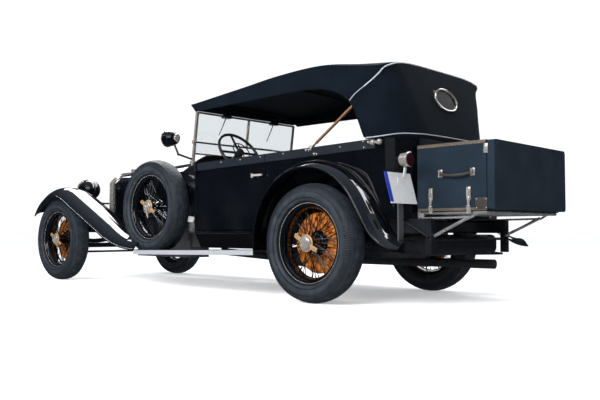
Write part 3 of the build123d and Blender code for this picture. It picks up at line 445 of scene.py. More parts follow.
def dashboard_look(name):
    """Coach enamel outside, and polished wood on the cabin side."""
    look = Look(name, PAINT, 0.12, coat=1.0, coat_rough=0.02)
    _, x, _, z = look.place()
    board = x.between(*DASH_X) * z.above(DASH_LOW)
    grain = look.noise(9.0, 6.0, 0.65, (1, 1, 9))
    wood = look.mix(grain, (0.09, 0.035, 0.014), (0.2, 0.09, 0.04))
    film = look.ramp(look.noise(3.0, 5.0, 0.6), 0.45, 0.75) * 0.12
    paint = look.mix(film, PAINT, (0.03, 0.03, 0.032))
    look.colour(look.mix(board, paint, wood))
    look.rough(0.08 + board * 0.14 + film * 0.3)
    look.ripples()
    return look.material


M = {
    "body_paint": enamel("coach_enamel", dust=0.3),
    "wing_paint": enamel("wing_enamel", dust=0.3),
    "chassis_paint": chassis_black("chassis_black"),
    "engine_iron": cast("engine_iron", (0.06, 0.06, 0.065)),
    "exhaust_steel": cast("exhaust_steel", (0.02, 0.02, 0.021), 0.45),
    "radiator_nickel": radiator_look("radiator_shell"),
    "lamp_black": masked_lamp("headlamp"),
    "lamp_nickel": spot_lamp_look("spot_lamp"),
    "bright_nickel": nickel("bright_nickel"),
    "glass": glass("plate_glass"),
    "steering_wheel_black": plain("wheel_rim_black", (0.01, 0.01, 0.011), 0.25, coat=0.5),
    "seat_leather": leather("seat_leather"),
    "top_cloth": cloth("top_cloth", (0.0013, 0.0026, 0.0047), sheen=0.02),
    "hood_sticks": plain("hood_wood", (0.12, 0.06, 0.03), 0.35, coat=0.4),
    "trunk_cloth": cloth("trunk_cloth", (0.0065, 0.0105, 0.016), 0.0022),
    "rack_nickel": nickel("rack_nickel", (0.5, 0.5, 0.5)),
    "plate_white": plate_and_lamp("plate_and_tail_lamp"),
    "wheel_paint": enamel("wheel_enamel"),
    "tyre_rubber": rubber("tyre_rubber"),
    "board_rubber": running_board("running_board"),
}
DOOR = door_enamel("door_enamel")
DASH = dashboard_look("scuttle_enamel")
TUB = tub_enamel("tub_enamel")
COPPER = drum_copper("drum_copper")
# A darker copy of the tyre rubber: painted shade for the faces down in the tyre's grooves and wall rings
GROOVE_SHADE = rubber("tyre_groove_painted_shade", 0.38)
EARS = nickel("hub_brass", (0.50, 0.31, 0.17), 0.65)
PIPING = plain("silver_piping", (0.34, 0.36, 0.38), 0.4, metallic=0.4)
EDGING = leather("trunk_edging", (0.05, 0.038, 0.028))
HANDLE = leather("trunk_handle", (0.02, 0.017, 0.015))
SLOT_OF = {s["node"]: s["material_slot"] for s in frame["record"]["subparts"]}
for name, obj in NODES.items():
    obj.data.materials.clear()
    obj.data.materials.append(M[SLOT_OF[name]])
for name, look in (("door_left", DOOR), ("door_right", DOOR), ("scuttle", DASH), ("body_tub", TUB)):
    NODES[name].data.materials[0] = look


def new_object(name, data):
    made = bpy.data.objects.new(name, data)
    bpy.context.scene.collection.objects.link(made)
    return made


class Shape:
    """Collects points and faces, and makes one piece of them."""

    def __init__(self):
        self.points = []
        self.faces = []
        self.looks = []

    def add(self, points, faces, look=0):
        first = len(self.points)
        self.points += [tuple(p) for p in points]
        self.faces += [tuple(first + i for i in face) for face in faces]
        self.looks += [look] * len(faces)

    def grid(self, rows, look=0, close_rows=False, close_columns=False, flip=False):
        """Faces between neighbouring points of a table of points; flip turns them over."""
        if flip:
            rows = [row[::-1] for row in rows]
        high, wide = len(rows), len(rows[0])
        faces = []
        for i in range(high if close_rows else high - 1):
            for j in range(wide if close_columns else wide - 1):
                a, b = i * wide, ((i + 1) % high) * wide
                k = (j + 1) % wide
                faces.append((a + j, a + k, b + k, b + j))
        self.add([p for row in rows for p in row], faces, look)

    def lathe(self, outline, steps, look=0, closed=False, place=None):
        """An outline of (radius, y) turned about the Y axis; place moves the result."""
        rows = []
        for a in angles(steps):
            row = [Vector((r * cos(a), y, r * sin(a))) for r, y in outline]
            rows.append([place @ p for p in row] if place else row)
        self.grid(rows, look, close_rows=True, close_columns=closed)

    def tube(self, path, radius, sides=8, look=0, closed=False):
        path = [Vector(p) for p in path]
        rows = []
        side = None
        last = len(path) - 1
        for i, p in enumerate(path):
            before = path[i - 1] if i or closed else p
            after = path[(i + 1) % len(path)] if i < last or closed else p
            along = (after - before).normalized()
            if side is None:
                side = along.orthogonal().normalized()
            side = (side - along * side.dot(along)).normalized()
            up = along.cross(side)
            rows.append([p + (side * cos(t) + up * sin(t)) * radius for t in angles(sides)])
        self.grid(rows, look, close_rows=closed, close_columns=True)
        if not closed:
            first = len(self.points) - len(rows) * sides
            self.faces.append(tuple(first + k for k in reversed(range(sides))))
            self.faces.append(tuple(first + last * sides + k for k in range(sides)))
            self.looks += [look, look]

    def block(self, centre, size, bevel=0.002, look=0, turn=None, cuts=2):
        """A box with rounded edges."""
        made = bmesh.new()
        bmesh.ops.create_cube(made, size=1)
        bmesh.ops.scale(made, vec=size, verts=made.verts)
        bmesh.ops.bevel(made, geom=made.edges[:], offset=bevel, segments=cuts, affect="EDGES", profile=0.6)
        place = Matrix.Translation(centre) @ (turn.to_4x4() if turn else Matrix.Identity(4))
        made.verts.index_update()
        self.add([place @ v.co for v in made.verts], [[v.index for v in f.verts] for f in made.faces], look)
        made.free()

    def dome(self, centre, out, radius, height, look=0, sides=12):
        """A round-headed stud that stands on a surface and points outwards."""
        turn = Vector(out).to_track_quat("Y", "Z").to_matrix().to_4x4()
        place = Matrix.Translation(centre) @ turn
        outline = [(radius * cos(a), height * sin(a)) for a in (0, 0.4, 0.8, 1.2)] + [(0.00001, height)]
        self.lathe(outline, sides, look, place=place)

    def turn_over(self):
        self.faces = [face[::-1] for face in self.faces]

    def other_side(self):
        """The same shape on the car's other side."""
        made = Shape()
        made.add([(x, -y, z) for x, y, z in self.points], [face[::-1] for face in self.faces])
        made.looks = list(self.looks)
        return made

    def mirrored(self):
        """Adds the same again on the car's other side."""
        count, other = len(self.looks), self.other_side()
        self.add(other.points, other.faces)
        self.looks[count:] = other.looks
        return self

    def piece(self, name, slot, looks=None, body="chassis", replaces=(), crease=38, merge=0.0):
        """Makes the object. Its looks are the slot's own material unless others are given."""
        mesh = bpy.data.meshes.new(name)
        mesh.from_pydata(self.points, [], self.faces)
        for look in looks or [M[slot]]:
            mesh.materials.append(look)
        mesh.polygons.foreach_set("material_index", self.looks)
        if merge:
            made = bmesh.new()
            made.from_mesh(mesh)
            bmesh.ops.remove_doubles(made, verts=made.verts, dist=merge)
            made.to_mesh(mesh)
            made.free()
        mesh.polygons.foreach_set("use_smooth", [True] * len(mesh.polygons))
        mesh.set_sharp_from_angle(angle=radians(crease))
        mesh.update()
        obj = new_object(name, mesh)
        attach(obj, body)
        if replaces:
            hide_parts(*replaces)
        return obj


def smooth_curve(table, x):
    """A smooth line through a table of (place, value), read at x."""
    table = sorted(table)
    xs = [row[0] for row in table]
    vs = [row[1] for row in table]
    if x <= xs[0]:
        return vs[0]
    if x >= xs[-1]:
        return vs[-1]
    i = max(k for k in range(len(xs) - 1) if xs[k] <= x)
    slopes = []
    for k in (i, i + 1):
        low, high = max(k - 1, 0), min(k + 1, len(xs) - 1)
        slopes.append((vs[high] - vs[low]) / (xs[high] - xs[low]))
    h = xs[i + 1] - xs[i]
    t = (x - xs[i]) / h
    return ((2 * t ** 3 - 3 * t ** 2 + 1) * vs[i] + (t ** 3 - 2 * t ** 2 + t) * h * slopes[0]
            + (3 * t ** 2 - 2 * t ** 3) * vs[i + 1] + (t ** 3 - t ** 2) * h * slopes[1])


def ease(t):
    t = min(max(t, 0.0), 1.0)
    return t * t * (3 - 2 * t)


# Tyres and wheels

TYRE_STEPS = 432
ZIGZAG = 0.0035
ZIGZAG_STEPS = 8
TREAD_DEPTH = 0.0075
TREAD_HALF = 0.0503
# Half sections as (radius, y): the wall from the bead outwards, then the ribbed shoulder
TYRE_WALL = ((0.276, 0.053), (0.290, 0.053), (0.2945, 0.060), (0.297, 0.068), (0.303, 0.0765),
             (0.312, 0.0845), (0.322, 0.090), (0.3235, 0.0925), (0.328, 0.0925), (0.3295, 0.0925),
             (0.345, 0.0945), (0.362, 0.0945), (0.366, 0.0925))
TYRE_SHOULDER = ((0.3685, 0.0925), (0.378, 0.0905), (0.390, 0.0860), (0.399, 0.0810), (0.408, 0.0745),
                 (0.4135, 0.0690))


def tread_radius(w):
    """Radius of the tread at a distance w from the tyre's middle."""
    return TYRE_R - 3.47 * w * w


def tyre_piece(name, body, node, x, y, z, side):
    """A balloon tyre: zigzag ribs on the tread, fine ribs on the shoulders, rings on the walls. The faces
    down in the grooves and the rings get a darker rubber: painted shade.
    """
    half = [(r, w, 0, 0) for r, w in TYRE_WALL] + [(r, w, 0, 1) for r, w in TYRE_SHOULDER]
    half.append((0.4150, 0.0660, 0, 0))
    for w in (0.062, 0.052, 0.0505):
        half.append((tread_radius(w), w, 1, 0))
    for outer, inner in ((0.0500, 0.0445), (0.0315, 0.0260), (0.0130, 0.0075)):
        half += [(tread_radius(outer), outer, 1, 0), (tread_radius(outer) - TREAD_DEPTH, outer - 0.001, 1, 0),
                 (tread_radius(inner) - TREAD_DEPTH, inner + 0.001, 1, 0), (tread_radius(inner), inner, 1, 0)]
    half.append((tread_radius(0.0), 0.0, 1, 0))
    outline = half + [(r, -w, k, e) for r, w, k, e in reversed(half[:-1])]
    rows = []
    for i, a in enumerate(angles(TYRE_STEPS)):
        phase = (i % ZIGZAG_STEPS) / ZIGZAG_STEPS
        shift = ZIGZAG * (4 * abs(phase - 0.5) - 1)
        rib = 0.0015 if i % 3 < 2 else -0.0055
        row = []
        for r, w, k, e in outline:
            rr = r + e * rib * 0.7
            ww = (w + k * shift * (1 if abs(w) < TREAD_HALF else 0)) + copysign(e * rib, w)
            row.append((x + rr * cos(a), y + side * ww, z + rr * sin(a)))
        rows.append(row)
    shape = Shape()
    shape.grid(rows, close_rows=True, close_columns=True)
    wide = len(outline)
    for i in range(TYRE_STEPS):
        for j in range(wide):
            (ra, wa, ka, ea), (rb, wb, kb, eb) = outline[j], outline[(j + 1) % wide]
            # Faces in the shoulder grooves, the tread grooves and the wall rings take the darker rubber:
            # painted shade
            groove = ea and eb and i % 3 != 0
            tread = ka and kb and min(tread_radius(wa) - ra, tread_radius(wb) - rb) > 0.004
            low, high = min(ra, rb), max(ra, rb)
            ring = (0.292 < low and high < 0.3035) or (0.3215 < low and high < 0.330)
            if groove or tread or ring:
                shape.looks[i * wide + j] = 1
    if side > 0:
        shape.turn_over()
    shape.piece(name, "tyre_rubber", [M["tyre_rubber"], GROOVE_SHADE], body, [node], crease=30)


SPOKE_ROWS = (
    # hub radius, hub y, rim radius, rim y, lead in degrees
    (0.058, -0.044, 0.2515, -0.020, 22),
    (0.046, 0.044, 0.2560, 0.004, 12),
    (0.046, 0.060, 0.2515, 0.018, 26),
)
SPOKES_A_ROW = 24
EAR_ANGLE = -0.47


def wheel_shape(spare):
    """Wire wheel with its face towards +Y. Looks: 0 enamel, 1 nickel, 2 copper, 3 brass."""
    shape = Shape()
    rim = [(0.2885, 0.0545), (0.2895, 0.058), (0.2880, 0.0605), (0.2840, 0.0600), (0.2700, 0.0585),
           (0.2640, 0.052), (0.2570, 0.041), (0.2500, 0.024), (0.2485, 0.010), (0.2485, -0.010),
           (0.2500, -0.024), (0.2570, -0.041), (0.2640, -0.052), (0.2700, -0.0585), (0.2880, -0.0605),
           (0.2895, -0.0545), (0.2760, -0.0535), (0.2760, 0.0535)]
    shape.lathe(rim, 96, 0, closed=True)
    edge = [(0.2875 + 0.0024 * cos(a), 0.0607 + 0.0016 * sin(a)) for a in angles(8)]
    shape.lathe(edge, 96, 1, closed=True)
    barrel = [(0.0265, -0.050), (0.066, -0.050), (0.068, -0.047), (0.066, -0.040), (0.055, -0.036),
              (0.049, -0.028), (0.046, 0.036), (0.049, 0.040), (0.049, 0.048), (0.046, 0.052),
              (0.049, 0.056), (0.050, 0.066), (0.047, 0.068)]
    shape.lathe(barrel, 40, 0)
    flange = [(0.047, 0.067), (0.060, 0.070), (0.0635, 0.074), (0.0635, 0.080), (0.060, 0.084),
              (0.0535, 0.0855)]
    shape.lathe(flange, 48, 3)
    cap = [(0.0535, 0.0855), (0.0525, 0.0905), (0.049, 0.0955), (0.041, 0.0995), (0.030, 0.1022),
           (0.0285, 0.1010), (0.0265, 0.1010), (0.0250, 0.1030), (0.014, 0.1042), (0.00001, 0.1046)]
    shape.lathe(cap, 48, 1)
    ears = Matrix.Rotation(EAR_ANGLE, 3, "Y")
    for sign in (-1, 1):
        turn = ears @ Matrix.Rotation(-sign * 0.10, 3, "Z")
        shape.block(ears @ Vector((sign * 0.082, 0.0800, 0)), (0.070, 0.013, 0.034), 0.006, 3, turn, 3)
        shape.block(ears @ Vector((sign * 0.108, 0.0835, 0)), (0.022, 0.012, 0.026), 0.0055, 3, turn, 3)
    for i, (hub_r, hub_y, rim_r, rim_y, lead) in enumerate(SPOKE_ROWS):
        for k, foot in enumerate(angles(SPOKES_A_ROW, i / 3)):
            head = foot + radians(lead if k % 2 else -lead)
            a = Vector((hub_r * cos(foot), hub_y, hub_r * sin(foot)))
            b = Vector((rim_r * cos(head), rim_y, rim_r * sin(head)))
            shape.tube([a, b], 0.0027, 6, 0)
            shape.tube([b + (a - b).normalized() * 0.016, b], 0.0042, 6, 0)
    if spare:
        turn = Matrix.Rotation(radians(22.4), 3, "Y")
        shape.block((-0.021, 0.108, -0.048), (0.016, 0.010, 0.115), 0.004, 1, turn, 3)
        shape.lathe([(0.016, 0.104), (0.016, 0.113), (0.012, 0.1165), (0.00001, 0.1168)], 20, 1)
        return shape
    shape.lathe([(0.0265, -0.0500), (0.090, -0.0500), (0.092, -0.0512)], 64, 0)
    drum = [(0.0265, -0.0515), (0.080, -0.0515), (0.205, -0.0515), (0.2140, -0.0535), (0.2200, -0.0570)]
    for i in range(7):
        y = -0.0585 - i * 0.0066
        drum += [(0.2215, y), (0.2215, y - 0.0026), (0.2150, y - 0.0034), (0.2150, y - 0.0060)]
    drum += [(0.2200, -0.105), (0.208, -0.1052), (0.205, -0.060), (0.0265, -0.0585)]
    shape.lathe(drum, 96, 2, closed=True)
    for a in angles(30):
        turn = Matrix.Rotation(-a, 3, "Y")
        shape.block(turn @ Vector((0.153, -0.0485, 0)), (0.116, 0.0075, 0.0065), 0.0018, 2, turn, 1)
    for a in angles(8, 0.5):
        shape.dome((0.070 * cos(a), -0.0505, 0.070 * sin(a)), (0, 1, 0), 0.006, 0.005, 1, 6)
    return shape


def wheel_piece(name, body, node, x, y, z, side, spare=False):
    shape = wheel_shape(spare)
    shape.points = [(x + px, y + side * py, z + pz) for px, py, pz in shape.points]
    if side > 0:
        shape.turn_over()
    looks = [M["wheel_paint"], M["bright_nickel"], COPPER, EARS]
    shape.piece(name, "wheel_paint", looks, body, [node])


def all_wheels():
    sides = (("left", 1), ("right", -1))
    for end, x in (("front", FRONT_X), ("rear", REAR_X)):
        for word, side in sides:
            corner, place = f"{end}_{word}", (x, side * WHEEL_Y, AXLE_Z)
            tyre_piece(f"road_tyre_{corner}", f"wheel_{corner}", f"tyre_{corner}", *place, side)
            wheel_piece(f"laced_wheel_{corner}", f"wheel_{corner}", f"wire_wheel_{corner}", *place, side)
    for word, side in sides:
        place = (SPARE_X, side * SPARE_Y, SPARE_Z)
        tyre_piece(f"spare_road_tyre_{word}", "chassis", "spare_tyres", *place, side)
        wheel_piece(f"spare_laced_wheel_{word}", "chassis", "spare_wheels", *place, side, True)


# Fabric top: tables of (place forward of the rear axle, height or half width)

CROWN = ((1.58, 1.668), (0.85, 1.752), (0.5, 1.781), (0.05, 1.797), (-0.3, 1.748), (-0.58, 1.708))
EDGE = ((1.58, 1.640), (0.85, 1.702), (0.5, 1.733), (0.05, 1.742), (-0.22, 1.702), (-0.58, 1.640))
POWER = ((1.58, 2.2), (0.05, 3.0), (-0.3, 4.0), (-0.58, 5.5))
EDGE_HALF = ((1.58, 0.632), (0.05, 0.632), (-0.3, 0.640), (-0.58, 0.655))
LOW_HALF = ((1.58, 0.662), (0.85, 0.681), (0.05, 0.690), (-0.3, 0.682), (-0.58, 0.655))
HEM = ((0.29, 1.570), (0.1, 1.566), (-0.02, 1.553), (-0.12, 1.526), (-0.2, 1.490), (-0.27, 1.440),
       (-0.31, 1.390), (-0.345, 1.320), (-0.375, 1.240), (-0.402, 1.165), (-0.412, 1.150))
BOWS = (1.50, 0.95, 0.45, 0.05, -0.55)
HEM_FLOOR = 1.150
REAR_TOP_X, REAR_LOW_X = -0.577, -0.713
CORNER_TOP, CORNER_LOW = 0.11, 0.42
HEADER_X = 1.580
# The piped seam from the hem over the shoulder to the middle of the back
SEAM = ((-0.263, 0.675, 1.413), (-0.304, 0.670, 1.457), (-0.349, 0.668, 1.490), (-0.394, 0.665, 1.518),
        (-0.438, 0.660, 1.550), (-0.480, 0.652, 1.582), (-0.518, 0.640, 1.612), (-0.550, 0.620, 1.640),
        (-0.572, 0.580, 1.662), (-0.578, 0.52, 1.682), (-0.578, 0.40, 1.70), (-0.578, 0.25, 1.706),
        (-0.578, 0.0, 1.708))


def roof_z(x, y):
    """Height of the cloth over the bows, with a little sag between them."""
    crown, edge = smooth_curve(CROWN, x), smooth_curve(EDGE, x)
    across = min(abs(y) / smooth_curve(EDGE_HALF, x), 1.0)
    sag = 0.0
    for a, b in zip(BOWS, BOWS[1:]):
        if b < x < a:
            sag = 0.007 * sin(pi * (x - b) / (a - b)) ** 2
    return crown - (crown - edge) * across ** smooth_curve(POWER, x) - sag * (1 - across ** 2)


def plan(u, h):
    """Plan place of the wall: u runs from the header (0) to the corner (1), round it (2), to the middle
    of the back (3); h is 0 at the hem's floor and 1 at the shoulder."""
    rear = REAR_TOP_X + (REAR_LOW_X - REAR_TOP_X) * (1 - h)
    corner = CORNER_TOP + (CORNER_LOW - CORNER_TOP) * max(1 - h, 0.0) ** 0.6
    start = rear + corner
    if u <= 1:
        x = HEADER_X + (start - HEADER_X) * u
    else:
        x = start
    low, high = smooth_curve(LOW_HALF, x), smooth_curve(EDGE_HALF, x)
    half = high + (low - high) * (1 - ease((h - 0.60) / 0.42))
    if u <= 1:
        return x, half
    if u <= 2:
        a = (u - 1) * pi / 2
        return start - corner * sin(a), half - corner + corner * cos(a)
    return rear, (half - corner) * (3 - u)


def wall(u, h):
    x, y = plan(u, 1.0)
    top = roof_z(x, y)
    x, y = plan(u, h)
    z = HEM_FLOOR + h * (top - HEM_FLOOR)
    if u < 0.2:
        x -= 0.07 * min(max((1.632 - z) / 0.06, 0), 1) * (1 - u / 0.2)
    return at(x, y, z)


def hem_h(u):
    """How far up the wall its lower edge lies."""
    if u >= 2.0 or smooth_curve(HEM, plan(u, 0.0)[0]) <= HEM_FLOOR:
        return 0.0
    low, high = 0.0, 1.0
    for _ in range(24):
        mid = (low + high) / 2
        p = wall(u, mid)
        if p.z < smooth_curve(HEM, p.x - REAR_X):
            low = mid
        else:
            high = mid
    return high


def wall_columns():
    us = [i / 30 * 0.60 for i in range(30)]
    us += [0.60 + i / 26 * 0.26 for i in range(26)]
    us += [0.86 + i / 56 * 0.14 for i in range(56)]
    us += [1 + i / 60 for i in range(60)]
    us += [2 + i / 22 for i in range(23)]
    return us


def fabric_top():
    us = wall_columns()
    corner_count = 22
    wall_rows = 30
    edge_steps = [ease(i / 12) * 0.35 + 0.65 * (i / 12) for i in range(13)]
    shape = Shape()
    rows = []
    for u in us:
        low = hem_h(u)
        rows.append([wall(u, low + (1 - low) * (j / wall_rows) ** 0.9) for j in range(wall_rows + 1)])
    shape.grid(rows)

    def over(x, y):
        return at(x, y, roof_z(x, y))

    roof = []
    for u in [v for v in us if v <= 1] + [1.0]:
        x, y = plan(u, 1.0)
        inner = y - CORNER_TOP
        roof.append([over(x, y - CORNER_TOP * t) for t in edge_steps]
                    + [over(x, inner * (1 - i / corner_count)) for i in range(1, corner_count + 1)])
    shape.grid(roof, flip=True)
    # x, y and inner stay those of the last row, where the corner starts
    turn = []
    for u in [1.0] + [v for v in us if 1 < v <= 2]:
        ex, ey = plan(u, 1.0)
        turn.append([over(ex + (x - ex) * t, ey + (inner - ey) * t) for t in edge_steps])
    shape.grid(turn, flip=True)
    back = []
    for i in range(corner_count + 1):
        ey = inner * (1 - i / corner_count)
        back.append([over(REAR_TOP_X + (x - REAR_TOP_X) * t, ey) for t in edge_steps])
    shape.grid(back, flip=True)
    flap = []
    for k, drop in enumerate((0.0, 0.012, 0.03, 0.052)):
        shift = Vector((-0.004 * k - (0.03 * (drop / 0.052) ** 2), 0, -drop))
        flap.append([p + shift for p in roof[0]])
    shape.grid(flap, flip=True)
    shape.mirrored()
    top = shape.piece("cloth_top", "top_cloth", replaces=["fabric_top"], crease=60, merge=0.0012)
    made = bmesh.new()
    made.from_mesh(top.data)
    bmesh.ops.recalc_face_normals(made, faces=made.faces)
    inner_points = [v for v in made.verts if not v.is_boundary]
    for _ in range(4):
        bmesh.ops.smooth_vert(made, verts=inner_points, factor=0.5,
                              use_axis_x=True, use_axis_y=True, use_axis_z=True)
    cut_window(made)
    made.normal_update()
    area = sum(f.calc_area() for f in made.faces)
    if sum(f.normal.z * f.calc_area() for f in made.faces) < 0:
        bmesh.ops.reverse_faces(made, faces=made.faces)
    made.to_mesh(top.data)
    made.free()
    thick = top.modifiers.new("cloth", "SOLIDIFY")
    thick.thickness = 0.004
    thick.offset = -1.0
    return top, area


WINDOW_CENTRE = at(-0.6375, 0, 1.48)
WINDOW_UP = Vector((0.245, 0, 0.97)).normalized()
WINDOW_HALF_WIDE, WINDOW_HALF_HIGH = 0.142, 0.084


def cut_window(made):
    """An oval hole in the back: points near its edge move onto the edge, then the faces inside go."""
    def oval(p):
        d = p - WINDOW_CENTRE
        return hypot(d.y / WINDOW_HALF_WIDE, d.dot(WINDOW_UP) / WINDOW_HALF_HIGH)

    near = [v for v in made.verts if v.co.x < st(-0.5) and 0.86 < oval(v.co) < 1.14]
    for v in near:
        k = oval(v.co)
        d = v.co - WINDOW_CENTRE
        flat = Vector((0, d.y, 0)) + WINDOW_UP * d.dot(WINDOW_UP)
        v.co = v.co + flat * (1 / k - 1)
    middles = [(f, f.calc_center_median()) for f in made.faces]
    gone = [f for f, p in middles if p.x < st(-0.5) and oval(p) < 0.97]
    bmesh.ops.delete(made, geom=gone, context="FACES")


def top_trim(cloth):
    """Silver piping on the seams and hems, and the ring round the back window."""
    roll, shape = Shape(), Shape()
    out = 0.0015
    hem = [wall(u, hem_h(u)) + Vector((0, out, 0)) for u in wall_columns() if u <= 1.0 or hem_h(u) > 0]
    roll.tube(hem, 0.0042, 6)
    low = hem_h(0.0)
    front = [wall(0.0, low + (1 - low) * i / 14) + Vector((0.001, out, 0)) for i in range(15)]
    roll.tube(front, 0.0042, 6)
    roll.mirrored().piece("top_hem", "top_cloth")
    tree = BVHTree.FromObject(cloth, bpy.context.evaluated_depsgraph_get())
    guide = [at(*p) for p in SEAM]
    path = []
    for i in range(len(guide) - 1):
        a, b = guide[i], guide[i + 1]
        before, after = guide[max(i - 1, 0)], guide[min(i + 2, len(guide) - 1)]
        for k in range(10):
            t = k / 10
            path.append(0.5 * (2 * a + (b - before) * t + (2 * before - 5 * a + 4 * b - after) * t ** 2
                               + (3 * a - before - 3 * b + after) * t ** 3))
    path.append(guide[-1])
    for _ in range(3):
        path = [tree.find_nearest(p)[0] for p in path]
        middle = [(a + b * 2 + c) / 4 for a, b, c in zip(path, path[1:], path[2:])]
        path = [path[0]] + middle + [path[-1]]
    shape.tube(path, 0.0052, 8)
    start = min(u for u in wall_columns() if u > 1 and hem_h(u) == 0)
    low_hem = []
    for i in range(71):
        u = start + (3 - start) * i / 70
        p = wall(u, 0.02 + 0.05 * ease((u - start) / 0.45))
        low_hem.append(p + (p - Vector((st(-0.2), 0, p.z))).normalized() * 0.002)
    shape.tube(low_hem, 0.0045, 6)
    shape.mirrored()
    header = []
    for i in range(41):
        y = -0.632 + 1.264 * i / 40
        header.append(Vector((st(HEADER_X) + 0.001, y, roof_z(HEADER_X, y) + 0.0005)))
    shape.tube(header, 0.0038, 6)
    shape.piece("top_piping", "top_cloth", [PIPING])
    ring, oval = Shape(), []
    for a in angles(64):
        oval.append(WINDOW_CENTRE + Vector((-0.003, WINDOW_HALF_WIDE * cos(a), 0))
                    + WINDOW_UP * WINDOW_HALF_HIGH * sin(a))
    ring.tube(oval, 0.0065, 8, closed=True)
    ring.piece("rear_window_ring", "bright_nickel")


BOW_HALF, REAR_BOW_HALF = 0.604, 0.585


def hood_sticks():
    """Bows under the cloth and the ash sticks that carry them, pivoted on the body's side."""
    wood, metal, bows = Shape(), Shape(), Shape()
    rail = [at(x, BOW_HALF, z) for x, z in ((1.50, 1.588), (0.85, 1.600), (0.04, 1.606))]
    bows.tube(rail, 0.009, 8)
    bows.mirrored()
    foot, knee = at(0.092, 0.676, 1.128), at(-0.500, REAR_BOW_HALF, 1.592)
    along = knee - foot
    turn = along.to_track_quat("Z", "Y").to_matrix()
    wood.block(foot + along * 0.52, (0.026, 0.014, along.length * 0.90), 0.004, 0, turn)
    for share, long in ((0.04, 0.12), (0.975, 0.06)):
        metal.block(foot + along * share, (0.022, 0.010, along.length * long), 0.003, 0, turn)
    metal.lathe([(0.0, -0.016), (0.017, -0.012), (0.019, 0.0), (0.017, 0.012), (0.0, 0.016)], 20,
                place=Matrix.Translation(foot))
    metal.block(at(0.092, 0.672, 1.100), (0.050, 0.022, 0.014), 0.003)
    wood.mirrored()
    metal.mirrored()
    for x, z in ((1.50, 1.590), (0.75, 1.640), (0.04, 1.700), (-0.500, 1.592)):
        half = BOW_HALF if x > 0 else REAR_BOW_HALF
        bow = []
        for k in range(31):
            t = k / 15 - 1
            rise = (roof_z(x, half * t) - 0.026 - z) * (1 - abs(t) ** 8)
            bow.append(at(x, half * t, z + rise))
        bows.tube(bow, 0.011, 8)
    bows.piece("hood_bows", "top_cloth")
    wood.piece("hood_sticks_wood", "hood_sticks", replaces=["hood_frame"])
    metal.piece("hood_sticks_metal", "bright_nickel")


SCREEN_FOOT = (1.590, 1.130)
SCREEN_RAKE = 0.1357


def on_screen(y, z, back=0.0):
    """A point on the slanted windscreen, or back behind it."""
    return at(SCREEN_FOOT[0] - (z - SCREEN_FOOT[1]) * SCREEN_RAKE - back, y, z)


def windscreen_trim():
    """The hood's front rail over the glass, the padded board under it, and stouter posts."""
    rail = Shape()
    rail.block(at(1.527, 0, 1.604), (0.028, 1.22, 0.050), 0.006)
    rail.piece("hood_front_rail", "top_cloth")
    board, rows, roll = Shape(), [], []
    for i in range(49):
        y = -0.598 + 1.196 * i / 48
        top = 1.196 - 0.085 * max((abs(y) - 0.38) / 0.22, 0) ** 2
        roll.append(on_screen(y, top, 0.012))
        rows.append([on_screen(y, 1.075 + (top - 1.075) * j / 6, 0.004) for j in range(7)]
                    + [on_screen(y, top - (top - 1.075) * j / 6, 0.018) for j in range(7)])
    board.grid(rows, close_columns=True)
    board.faces += [tuple(range(14)), tuple(reversed(range(48 * 14, 49 * 14)))]
    board.looks += [0, 0]
    board.tube(roll, 0.014, 10)
    board.piece("dash_padding", "seat_leather")
    posts, dark = Shape(), Shape()
    posts.tube([on_screen(0.612, 1.095), on_screen(0.612, 1.574)], 0.0125, 10)
    posts.lathe([(0.00001, -0.016), (0.017, -0.014), (0.021, 0.0), (0.017, 0.014), (0.00001, 0.016)], 20,
                place=Matrix.Translation(on_screen(0.616, 1.305)))
    posts.block(on_screen(0.612, 1.128), (0.055, 0.026, 0.024), 0.005)
    posts.mirrored()
    posts.tube([on_screen(0, 1.310, 0.014), on_screen(0, 1.560, 0.014)], 0.008, 8)
    posts.piece("windscreen_posts", "bright_nickel")
    dark.tube([on_screen(-0.60, 1.305, 0.012), on_screen(0.60, 1.305, 0.012)], 0.0085, 8)
    for y in (-0.300, 0.300):
        dark.block(on_screen(y, 1.556, 0.035), (0.050, 0.090, 0.032), 0.008)
        dark.tube([on_screen(y, 1.545, 0.030), on_screen(y + 0.05, 1.40, 0.018)], 0.0045, 6)
    dark.piece("wiper_motors_and_rail", "steering_wheel_black")


# Seats

SEAT_FLOOR = 0.624


def pad(name, node, low, high, face, pleats, swelling):
    """A leather cushion with sewn pleats on its face that looks along that axis, x or z."""
    axis = "xyz".index(face)
    centre = [(a + b) / 2 for a, b in zip(low, high)]
    half = [(b - a) / 2 for a, b in zip(low, high)]
    counts = [max(6, int(2 * h / 0.02)) for h in half]
    counts[1] = pleats * 8
    across = [k for k in range(3) if k != axis]
    shape = Shape()
    power = 9
    for a in range(3):
        b, c = [k for k in range(3) if k != a]
        for sign in (-1, 1):
            rows = []
            for i in range(counts[b] + 1):
                row = []
                for j in range(counts[c] + 1):
                    p = [0.0, 0.0, 0.0]
                    p[a], p[b], p[c] = sign, 2 * i / counts[b] - 1, 2 * j / counts[c] - 1
                    scale = (abs(p[0]) ** power + abs(p[1]) ** power + abs(p[2]) ** power) ** (1 / power)
                    q = [v / scale for v in p]
                    swell = (1 - q[across[0]] ** 2) * (1 - abs(q[across[1]]) ** 4)
                    lift = max(q[axis], 0) ** 3
                    groove = 1 - abs(sin(pi * pleats * (q[1] + 1) / 2)) ** 0.45
                    edge = 1 - max(abs(q[across[0]]), abs(q[across[1]])) ** 10
                    world = [centre[k] + q[k] * half[k] for k in range(3)]
                    world[axis] += lift * (swelling * swell - 0.013 * groove * edge)
                    row.append(world)
                rows.append(row)
            shape.grid(rows, flip=sign * (1 if a != 1 else -1) < 0)
    obj = shape.piece(name, "seat_leather", replaces=[node], crease=70, merge=0.0004)


